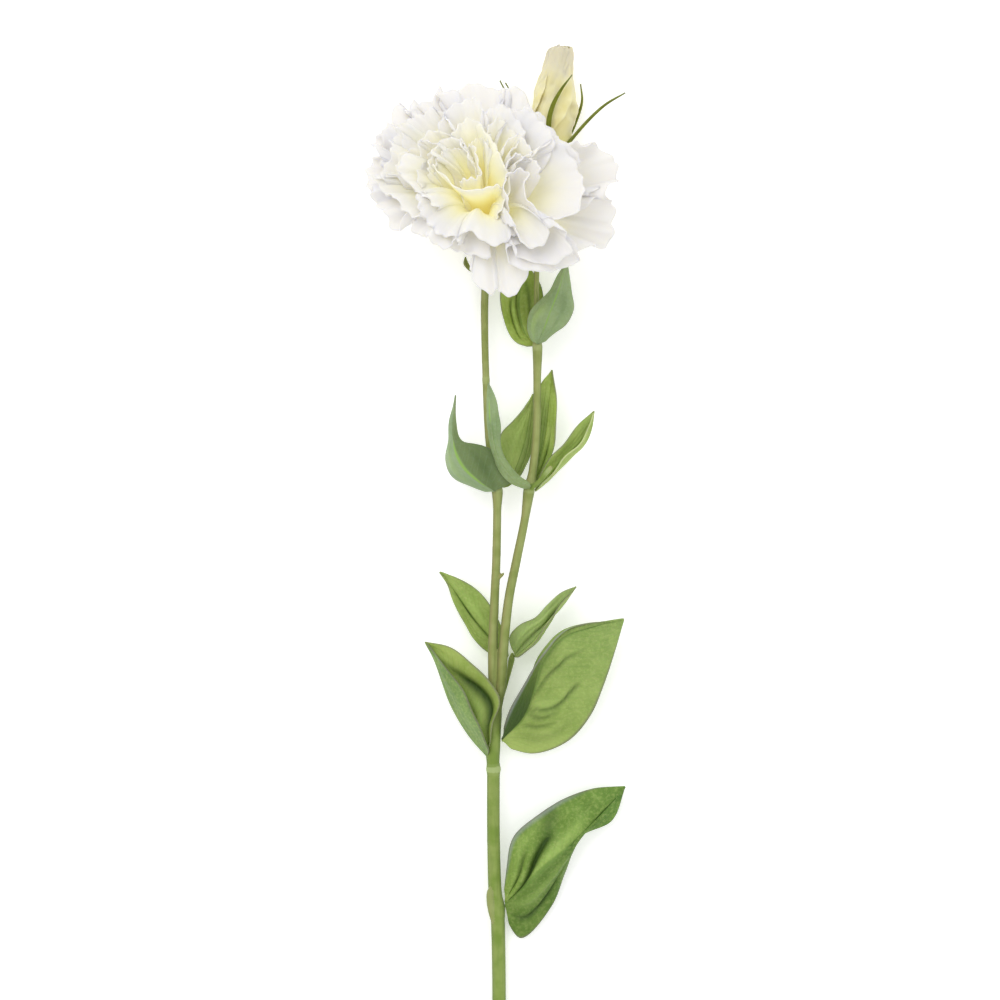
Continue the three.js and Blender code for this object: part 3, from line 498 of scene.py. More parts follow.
# Each leaf by sections from its base up, each the places of its left margin, rib and right margin, and
# by its tip. Then its tint at the base and tip (0 deep blue green, 1 yellow green) and what its right half
# adds, how pale it is, how much painted shade lies on its left half and on its right half where they face
# away from the light, how soft its fold is, and whether its underside faces up. Grey is the share across
# where a grey stretch starts and where it is full, fade the share along where that painted shade ends and
# where it is still full, and rims how pale the edges of the left and right half are. A crease is its half
# width, its height and its line, as shares across and along; a sunken crease is also painted with shade
# along it, and a raised one with a highlight.
leaves = {
    "leaf_a_right": {
        "sections": [
            (1.5, 88.3, 5), (2.1, 87, 5.4), (1.8, 81.8, 4.6),
            (2.8, 99.1, 5), (9.2, 93.3, 8.8), (7.6, 74.4, 1.5),
            (5.2, 109.9, 7.1), (15.9, 100.1, 10.3), (18, 85.4, 2.2),
            (12.8, 117.1, 9.4), (23.3, 106.1, 11), (22.9, 97.6, 5.2),
            (22.2, 122.6, 6.4), (30.4, 112.6, 8.6), (27.4, 109.4, 8.7),
            (32.5, 126.2, 7.5), (37.2, 119.4, 6.1), (38.8, 114.9, 3.5),
        ],
        "tip": (43.4, 126.7, 4.5), "tint": (0.4, 0.1, -0.1), "pale": 0, "shadedHalves": (0, 0.3), "soft": 0.2,
        "grey": (-0.86, -0.97), "grid": (64, 110),
        "creases": [
            (0.06, -2.3, [(0, 0.04), (-0.12, 0.18), (-0.26, 0.3), (-0.42, 0.42), (-0.5, 0.47)]),
            (0.07, -1, [(-0.5, 0.45), (-0.75, 0.53), (-1, 0.58)]),
            (0.1, 1, [(-0.06, 0.12), (-0.08, 0.35), (-0.2, 0.55), (-0.3, 0.68)]),
            (0.05, -1.2, [(-0.35, 0.06), (-0.45, 0.16), (-0.6, 0.3)]),
            (0.1, 0.6, [(-0.6, 0.2), (-0.75, 0.35), (-0.8, 0.48)]),
            (0.07, 0.8, [(0.3, 0.1), (0.36, 0.28), (0.3, 0.5)]),
            (0.05, -1.1, [(0.62, 0.1), (0.66, 0.28), (0.55, 0.42)]),
            (0.04, -0.8, [(0, 0.68), (-0.03, 0.79), (0, 0.93)]),
        ],
    },
    "leaf_b_left": {
        "sections": [
            (-2.5, 137.6, 10.5), (-3.9, 137.3, 7.8), (-3.1, 140.2, 10.8),
            (-5.5, 145.7, 16.2), (-9.6, 143.5, 6.5), (-2, 148.8, 14.6),
            (-8.7, 152.3, 18.8), (-13.7, 149.6, 7.2), (0.2, 156.7, 14.8),
            (-11.5, 159.2, 18.8), (-17, 156.2, 7.9), (-3.7, 164.1, 14.6),
            (-16, 165.1, 17), (-19.5, 163.1, 8.4), (-10, 169.8, 13.8),
            (-20.3, 171.1, 14.2), (-22, 170.1, 9.6), (-16.9, 174.8, 12.6),
        ],
        "tip": (-25.2, 176.7, 11.5), "tint": (0.1, 0, 1.1), "pale": 0.3, "shadedHalves": (0, 0.1), "soft": 0.25,
        "creases": [
            (0.075, -1.9, [(0.76, 0.1), (0.78, 0.25), (0.74, 0.42), (0.62, 0.56), (0.5, 0.68)]),
            (0.12, 1.3, [(0.48, 0.1), (0.52, 0.3), (0.46, 0.5)]),
            (0.08, 0.4, [(0.6, 0.66), (0.45, 0.78), (0.3, 0.9)]),
        ],
    },
    "leaf_b_right": {
        "sections": [
            (0.9, 144.4, 10), (1, 143.1, 8.5), (0.9, 140.8, 7),
            (3.9, 154.3, 19.1), (8.2, 150.4, 9), (12.1, 138, 4.5),
            (9.2, 163.6, 21), (12, 160.5, 11.8), (23.3, 142, 5),
            (14.6, 172.7, 18.2), (15.1, 170.8, 13), (31.2, 151.2, 6.8),
            (22.1, 180, 13.8), (22.1, 178.5, 12.5), (36, 161.9, 8.4),
            (32.3, 183, 11.9), (32.3, 182, 11), (39.5, 173.1, 9.2),
        ],
        "tip": (42.8, 184.4, 9.5), "tint": (0.95, 0.3, 0), "pale": 0.4, "shadedHalves": (1, 0), "soft": 0.3,
        "grey": (-0.78, -0.95), "fade": (0.85, 0.15), "grid": (64, 110),
        "creases": [
            (0.022, -1.2, [(0.03, 0.23), (0.4, 0.33), (0.57, 0.43), (0.63, 0.53), (0.67, 0.56)]),
            (0.022, -1, [(0.02, 0.3), (0.17, 0.44), (0.27, 0.54), (0.3, 0.6), (0.4, 0.68)]),
            (0.022, -0.8, [(0.03, 0.2), (0.43, 0.28), (0.6, 0.38)]),
            (0.05, -0.4, [(0.4, 0.12), (0.77, 0.25), (0.83, 0.41)]),
            (0.022, -0.7, [(0.1, 0.14), (0.5, 0.24), (0.68, 0.34)]),
            (0.05, 0.7, [(0.1, 0.26), (0.45, 0.36), (0.6, 0.47)]),
        ],
    },
    "leaf_c_left": {
        "sections": [
            (2.7, 170.2, 4.6), (3.2, 171.4, 4.8), (3.6, 172.8, 5),
            (-3.7, 172.7, 4.4), (-1.7, 175.8, 4.3), (1.4, 179.5, 5.4),
            (-8.5, 177.1, 4.6), (-5.7, 180.5, 4), (-0.9, 185.4, 5.6),
            (-12, 182.7, 4.9), (-9.4, 185.4, 4), (-4.2, 190.8, 5.8),
            (-14.8, 188.6, 5), (-12.9, 190.5, 4.3), (-8.8, 195.1, 5.8),
            (-17, 194.8, 5.5), (-16.5, 195.5, 4.8), (-14.4, 198.3, 5.9),
        ],
        "tip": (-20.4, 200.4, 6), "tint": (0.85, 0.7, 0), "pale": 0.35, "shadedHalves": (0.05, 0), "soft": 0.4,
        "creases": [
            (0.07, -1, [(0.03, 0.2), (-0.05, 0.45), (-0.08, 0.6), (-0.1, 0.8)]),
            (0.18, 0.8, [(0.3, 0.15), (0.35, 0.4), (0.3, 0.7)]),
        ],
    },
    "leaf_c_right": {
        "sections": [
            (4.8, 172.3, 6), (5.4, 171.3, 5.4), (5.6, 170.3, 6),
            (3.6, 178.1, 6.8), (9.8, 174.4, 6.5), (9.4, 174.2, 8.9),
            (7.1, 182.3, 7.5), (13.4, 178.4, 7.1), (13.6, 177.8, 10.3),
            (12.4, 184.9, 7.8), (16.6, 182.7, 7.3), (16.3, 182.5, 10.5),
            (16.5, 189.3, 8), (19.7, 187.1, 7.3), (19.5, 186.9, 9.8),
            (21, 193.2, 7.5), (22.9, 191.5, 7.1), (23.2, 191, 8.3),
        ],
        "tip": (26.5, 195.4, 6.5), "tint": (0.6, 0.45, 0.5), "pale": 0.85, "shadedHalves": (0, 0), "soft": 0.4,
        "creases": [
            (0.09, -0.9, [(-0.3, 0.04), (-0.25, 0.3), (-0.1, 0.6), (0, 0.85)]),
            (0.1, 0.5, [(-0.65, 0.1), (-0.6, 0.4), (-0.4, 0.7)]),
        ],
    },
    "leaf_d_left": {
        "sections": [
            (-2.6, 227.3, 13), (-1.6, 228.1, 13.9), (0, 228.4, 13.9),
            (-9.5, 229.4, 12.6), (-7.1, 231.5, 17.8), (5.1, 232.6, 15.2),
            (-15.4, 233.2, 12), (-11.9, 235.8, 19.2), (1.3, 239.7, 15.5),
            (-18.3, 239.7, 12.4), (-14.8, 241.4, 19.9), (-5.3, 243.4, 16.6),
            (-17.1, 246.6, 15.3), (-15.6, 247.8, 19.9), (-12.8, 244.8, 18.3),
            (-16.4, 253.7, 17.7), (-15.4, 254.2, 19), (-14.6, 252.6, 18.6),
        ],
        "tip": (-14.7, 260.6, 18), "tint": (0.2, 0.1, 0.9), "pale": 0.4, "shadedHalves": (0, 0.5), "soft": 0.25,
        "under": True,
        "creases": [
            (0.12, -0.35, [(0.3, 0.1), (0.45, 0.3), (0.6, 0.45)]),
            (0.12, 0.4, [(-0.5, 0.15), (-0.5, 0.4), (-0.4, 0.6)]),
        ],
    },
    "leaf_d_right": {
        "sections": [
            (0.9, 230.4, 10.4), (1.5, 229.4, 9.8), (2, 228.6, 9.4),
            (-0.3, 236.1, 8.9), (4.8, 234, 8), (6.6, 232.4, 7.8),
            (-0.4, 242, 8), (7.1, 239.2, 6.9), (9.6, 237.6, 7.1),
            (0.8, 247.6, 7.8), (8.8, 244.6, 6.4), (11.2, 243.4, 7),
            (4.7, 252, 7.9), (10, 250.2, 6.4), (12, 249.4, 7),
            (8.5, 256.4, 7.7), (10.9, 255.7, 6.6), (12.2, 255.4, 7),
        ],
        "tip": (11.6, 261.4, 7), "tint": (1, 1, 0), "pale": 0.5, "shadedHalves": (0, 0.3), "soft": 0.5,
        "fade": (1.2, 1),
        "creases": [
            (0.12, 0.4, [(-0.5, 0.1), (-0.45, 0.4), (-0.3, 0.7)]),
            (0.08, -0.3, [(0.45, 0.15), (0.4, 0.5), (0.3, 0.75)]),
        ],
    },
    "leaf_e_left": {
        "sections": [
            (10.2, 228.2, 15), (10.5, 229.4, 16), (11.6, 230.1, 15.4),
            (4, 231.2, 16.6), (4.7, 232.3, 19), (6.1, 233.8, 16.8),
            (-0.7, 236.7, 17.5), (0.3, 237.7, 20.1), (2.3, 239.2, 17.5),
            (-3.1, 243.3, 17.3), (-2, 244.1, 20.5), (0.4, 245.5, 17.9),
            (-3.6, 250.4, 16.4), (-2.9, 251, 19.7), (-0.1, 252.2, 17.7),
            (-4, 257.6, 15.6), (-3.3, 257.9, 17.8), (-0.9, 258.7, 16.8),
        ],
        "tip": (-3.5, 264.8, 15.5), "tint": (1, 0.4, -0.1), "pale": 0.25, "shadedHalves": (0, 0), "soft": 0.2,
        "under": True, "rims": (1, 0),
    },
    "leaf_e_back": {
        "sections": [
            (10.4, 231.2, 10.8), (11.2, 230.8, 10.6), (12.4, 230.5, 11),
            (11, 238.1, 9.4), (13.5, 237.2, 8.9), (16.2, 236.4, 9.8),
            (11.8, 244.6, 9.5), (15.1, 243.6, 8.5), (18.4, 242.7, 9.8),
            (12.4, 251.2, 9.7), (16.2, 250, 8.5), (19.5, 249.4, 10.1),
            (13.1, 257.8, 9.9), (16.9, 256.5, 8.7), (19.7, 256.1, 10.3),
            (14.2, 264.4, 10.2), (17.7, 263, 9.2), (19.2, 262.9, 10.3),
        ],
        "tip": (18.1, 269.5, 10), "tint": (0.5, 1, 0.2), "pale": 0.25, "shadedHalves": (0.35, 0), "soft": 0.5,
        "creases": [
            (0.1, -0.8, [(0.5, 0.05), (0.45, 0.25), (0.4, 0.45)]),
            (0.1, 0.5, [(-0.4, 0.1), (-0.4, 0.5), (-0.3, 0.8)]),
        ],
    },
    "leaf_e_right": {
        "sections": [
            (12.4, 229.8, 12), (12.4, 228.1, 11), (13.1, 228.6, 12.4),
            (14.6, 234.8, 12.5), (17, 231.6, 10), (16.8, 232.8, 14.3),
            (17.6, 239.4, 12.5), (21, 236, 9.6), (20.6, 236.9, 15),
            (21.3, 243.5, 12.1), (25, 240.2, 9.6), (24.5, 241, 14.8),
            (24.7, 247.8, 11.6), (29, 244.5, 9.6), (28.2, 245.2, 13.8),
            (28.3, 251.9, 10.6), (31.7, 249.7, 9.3), (30.9, 250.1, 11.3),
        ],
        "tip": (32.5, 255.5, 9), "tint": (0.95, 0.85, 0.1), "pale": 0.4, "shadedHalves": (0, 0), "soft": 0.4,
        "rims": (0, 1),
        "creases": [
            (0.1, 0.3, [(-0.45, 0.1), (-0.45, 0.4), (-0.3, 0.75)]),
        ],
    },
    "leaf_f_left": {
        "sections": [
            (11.2, 276.9, 10.3), (12.2, 277.6, 9.9), (13.2, 278.8, 9.8),
            (5.3, 279.4, 7), (8.9, 282.4, 7.2), (14.1, 284.1, 7.9),
            (2.3, 285, 6.5), (7.5, 287.1, 6), (15.3, 288.9, 7.4),
            (0.6, 291.1, 6.4), (6.8, 292, 5.4), (15.2, 293.9, 7),
            (0.7, 297.2, 6.2), (7.1, 296.8, 5.2), (14.2, 298.8, 6.7),
            (3.2, 302.9, 5.7), (7.6, 301.7, 5.1), (11.7, 303.1, 5.9),
        ],
        "tip": (8.2, 306.6, 5), "tint": (0.95, 0.85, -0.1), "pale": 0.1, "shadedHalves": (0, 0.15), "soft": 0.5,
        "creases": [
            (0.07, -1.1, [(-0.1, 0.2), (-0.13, 0.55), (-0.2, 0.85)]),
            (0.06, -0.9, [(-0.5, 0.15), (-0.45, 0.45), (-0.3, 0.65)]),
            (0.08, 0.6, [(-0.3, 0.2), (-0.3, 0.5), (-0.25, 0.8)]),
            (0.08, -0.7, [(0.4, 0.15), (0.45, 0.5), (0.3, 0.8)]),
        ],
    },
    "leaf_f_right": {
        "sections": [
            (11.9, 277.5, 13.9), (13.2, 278.2, 14.1), (14.6, 277.8, 13.9),
            (9.7, 283.1, 14.2), (15.4, 283.4, 16.6), (19.2, 281.8, 13.5),
            (10.4, 288.3, 14.6), (17.1, 288, 17.2), (23.2, 285.6, 12.9),
            (13.8, 292.7, 15), (18.8, 292.6, 16.9), (25.6, 290.3, 13),
            (17.4, 297, 15), (20.5, 297.2, 16.1), (24.6, 295.7, 13.4),
            (20.3, 301.8, 14.5), (21.8, 301.9, 15.1), (24, 301.2, 13.7),
        ],
        "tip": (23.1, 306.6, 14), "tint": (0.8, 0.5, 0), "pale": 0.4, "shadedHalves": (0, 0), "soft": 0.4,
        "under": True,
        "creases": [
            (0.1, 0.7, [(-0.67, 0.1), (-0.6, 0.29), (-0.3, 0.4)]),
            (0.1, -0.25, [(0.5, 0.12), (0.5, 0.4), (0.35, 0.65)]),
        ],
    },
}


def leafSurface(leaf):
    left, rib, right = ([*leaf["sections"][k::3], leaf["tip"]] for k in range(3))

    def surface(u, v):
        along = v * leaf["blunt"]
        middle = smoothLine(rib, along)
        opened = (0.2 + 0.8 * smoothStep(-0.01, 0.05, v))[:, None]
        leftEdge = middle + (smoothLine(left, along) - middle) * opened
        rightEdge = middle + (smoothLine(right, along) - middle) * opened
        across = u[:, None]
        folded = middle + (np.where(across < 0, leftEdge, rightEdge) - middle) * np.abs(across)
        rounded = leftEdge * (across**2 - across) / 2
        rounded = rounded + middle * (1 - across**2) + rightEdge * (across**2 + across) / 2
        return pressed(folded + (rounded - folded) * leaf["soft"])

    return surface


def outward(surface, u, v):
    # unit normals of a surface given as a function of the places across and along
    step = 1e-3
    across = surface(u + step, v) - surface(u - step, v)
    along = surface(u, np.minimum(v + step, 1)) - surface(u, np.maximum(v - step, 0))
    return unit(np.cross(across, along))


def nearCrease(line, u, v, width):
    # 1 on the crease, 0 away from it, fading at its ends
    steps, stretch = 39, 1.3
    line = smoothLine([(x, y, 0) for x, y in line], np.linspace(0, 1, steps + 1))
    gap = (u[:, None] - line[None, :, 0]) ** 2 + ((v[:, None] - line[None, :, 1]) * stretch) ** 2
    along = np.argmin(gap, axis=1) / steps
    fade = np.sin(math.pi * np.clip(along * 0.9 + 0.05, 0, 1)) ** 0.6
    return np.exp(-gap.min(axis=1) / width**2) * fade


def leafRelief(leaf, seed, u, v):
    ends = np.clip(4 * v * (1 - v), 0, 1) ** 0.5
    relief = -leaf["rib"] * bump(u, 0, leaf["ribWidth"]) * (1 - 0.6 * v)
    for vein in leaf["veins"]:
        relief -= leaf["veinDepth"] * bump(np.abs(u), vein * (1 - 0.25 * v), leaf["veinWidth"]) * ends
    side = np.abs(u) ** 0.8
    height, count, slant = leaf["ripple"]
    relief += height * np.sin(count * (v - slant * side) + seed) * side * (1 - side) * ends
    height, across, along = leaf["uneven"]
    relief += height * softNoise(seed, across * u, along * v) * ends
    height, along, across = leaf["wave"]
    relief += height * np.sin(along * v + across * u + seed) * u**4 * ends
    for width, height, line in leaf["creases"]:
        relief += height * nearCrease(line, u, v, width)
    return relief


def shadeLeaf(blade, leaf, u, v):
    # what the material reads: the tint, where painted shade and painted highlights lie, and where the leaf is
    # pale and grey
    start, end, right = leaf["tint"]
    leftShade, rightShade = leaf["shadedHalves"]
    leftRim, rightRim = leaf["rims"]
    # painted shade on the half that faces away from the light, fading out along the blade where fade says
    dark = leftShade * smoothStep(0.02, -0.1, u) + rightShade * smoothStep(-0.02, 0.1, u)
    dark *= smoothStep(*leaf["fade"], v)
    light = 0 * u
    # each crease also paints shade along it where it sinks and a highlight where it rises
    for width, height, line in leaf["creases"]:
        near = nearCrease(line, u, v, width * 1.2)
        dark = dark + near * max(0, -height) * 0.6
        light = light + near * max(0, height)
    keepValues(
        blade, across=u, along=v, pale=leaf["pale"], dark=np.clip(dark, 0, 1), light=np.clip(light, 0, 1),
        rim=leftRim * smoothStep(0, -0.1, u) + rightRim * smoothStep(0, 0.1, u),
        tint=start + (end - start) * v + right * smoothStep(-0.1, 0.1, u),
        grey=smoothStep(*leaf["grey"], u) * smoothStep(0, 0.2, v) * smoothStep(0.85, 0.6, v),
    )


def makeLeaf(name, leaf, seed):
    blade, u, v = newGrid(name + "_blade", *leaf["grid"])
    surface = leafSurface(leaf)
    points = surface(u, v) + outward(surface, u, v) * leafRelief(leaf, seed, u, v)[:, None]
    points[:, 2] = np.maximum(points[:, 2], placement["floorClear"])
    placeCorners(blade, points)
    shadeLeaf(blade, leaf, u, v)
    thickened(blade, leaf["thickness"], material_offset=1, material_offset_rim=1)
    return blade


# Each side of a leaf: its darker and lighter patches at tint 0 and at tint 1, its other colours, how
# much of them shows, and how far the side veins stand out.
leafSkins = {
    "leaf_upper": {
        "low": [(78, 116, 44), (98, 136, 58)],
        "high": [(144, 168, 60), (168, 186, 88)],
        "pale": (168, 188, 124),
        "speckle": (184, 202, 118),
        "vein": (0.14, (96, 134, 60)),
        "rib": (0.45, (72, 112, 40)),
        "veinHeight": -0.5,
        "roughness": 0.38,
    },
    "leaf_under": {
        "low": [(126, 152, 108), (148, 170, 126)],
        "high": [(118, 140, 74), (138, 158, 92)],
        "pale": (166, 184, 146),
        "speckle": (160, 180, 146),
        "vein": (0.08, (160, 186, 140)),
        "rib": (0.8, (144, 184, 84)),
        "veinHeight": 0.7,
        "roughness": 0.5,
    },
}
leafColours = {
    # the painted highlight along raised creases, and the painted shade along sunken creases and on shaded
    # leaf halves
    "light": (176, 204, 112),
    "dark": (50, 76, 26),
    "grey": (150, 158, 156),
    "rims": [(124, 120, 106), (214, 222, 170)],
}


def leafMaterial(name):
    skin = leafSkins[name]
    material, tree, shader, place = newSkin(name, {
        "Specular IOR Level": 0.2, "Subsurface Weight": 0.12, "Subsurface Radius": (0.4, 1.0, 0.15),
        "Subsurface Scale": 1.0 * mm,
    })
    u, v, tint, rim = attributes(tree, "across", "along", "tint", "rim")
    pale, light, dark, grey = attributes(tree, "pale", "light", "dark", "grey")
    spread = abs(u)
    speckle = noise(tree, place, 900.0, 3.0, 0.7)
    patches = noise(tree, place, 110.0, 4.0)
    mottle = patches.within(0.35, 0.65)
    # side veins leave the midrib at a slant
    slant = (v * 16.0 - spread * 5.5).fraction()
    fine = slant.within(0.0, 0.12) * (1 - slant.within(0.12, 0.3))
    fine = fine * (1 - spread.within(0.7, 0.95)) * spread.within(0.02, 0.12)
    veinShare, veinColour = skin["vein"]
    ribShare, ribColour = skin["rib"]
    colour = coated(
        mixColours(tint, mixColours(mottle, *skin["low"]), mixColours(mottle, *skin["high"])),
        (pale * 0.75, skin["pale"]),
        (speckle.within(0.42, 0.68) * 0.3, skin["speckle"]),
        # painted highlight on raised creases, then painted shade on sunken creases and on shaded halves
        (light * 0.5, leafColours["light"]),
        (dark * 0.95, leafColours["dark"]),
        (grey * 0.6, leafColours["grey"]),
        (fine * veinShare, veinColour),
        ((1 - spread.within(0.02, 0.075)) * ribShare, ribColour),
        (spread.within(0.955, 0.995) * 0.6, mixColours(rim, *leafColours["rims"])),
    )
    relief = raised(0.3, 0.25, speckle * 0.6 + patches * 0.8 + fine * skin["veinHeight"])
    feed(tree, shader, colour=colour, roughness=speckle * 0.2 + skin["roughness"], normal=relief)
    return material


leafSides = [leafMaterial("leaf_upper"), leafMaterial("leaf_under")]
for seed, (name, facts) in enumerate(leaves.items(), 1):
    leaf = {**leafLook, **facts}
    blade = makeLeaf(name, leaf, seed)
    finished(blade, "leaf", [name], *(reversed(leafSides) if leaf["under"] else leafSides))
print("leaves made:", len(leaves))

bloomLook = {
    "base": (-4.25, 308.3, 11.1),
    "lean": 45,  # degrees from straight up towards the far end
    "heart": (-4.25, 336.6),  # the margins are measured from here, to the right and to the far end
    "dome": (50, 54, 20, 51.5),  # half width, half length, how far near its top is, and height
    "slant": (0.12, 14),  # margins stand this much nearer for each millimetre over this height
    "shoulder": [(1.8, 0.06), (2.0, 0.3)],  # millimetres past the end of a margin, and share back to the root
    "rise": 1.5,  # of a petal's bend over its claw
    "hanging": (100, 140, 2),  # rim leans where a petal starts to hang and hangs, and how far its bend rises
    "billows": [(0.6, 0, 2.5, 5), (0.3, 11, 9, 8)],  # height, seed step, waves across and along
    "crimp": (0.6, 0.55),  # height, and how far it shifts the rim
    "nicks": 1.3,  # how far the rim is uneven
    "thickness": 0.34,
    "cream": [(240, 228, 156), (244, 240, 200)],
    "white": (235, 232, 229),
    "vein": (228, 225, 223),
    # the painted glow's colour where the petals are white
    "paleGlow": (120, 120, 122),
}
# Each layer: how far out its petals start, how long their claws are, how far before the rim they lean
# as it does, how deep they fold, how high their edges ruffle, and in how many waves.
layers = {
    "heart": {"root": 1.2, "claw": 25, "arrive": 7, "fold": 0.6, "ruffle": (0.6, 2.5), "grid": (54, 52)},
    "inner": {"root": 2.0, "claw": 25, "arrive": 10, "fold": 1.1, "ruffle": (0.9, 3), "grid": (60, 52)},
    "middle": {"root": 2.8, "claw": 25, "arrive": 14, "fold": 1.2, "ruffle": (0.8, 3.5), "grid": (64, 52)},
    "outer": {"root": 3.4, "claw": 23, "arrive": 17, "fold": 1.6, "ruffle": (1.1, 3.5), "grid": (76, 50)},
}
# The seed of each layer's first petal, after which they count up.
firstSeeds = {"heart": 38, "inner": 28, "middle": 17, "outer": 5}
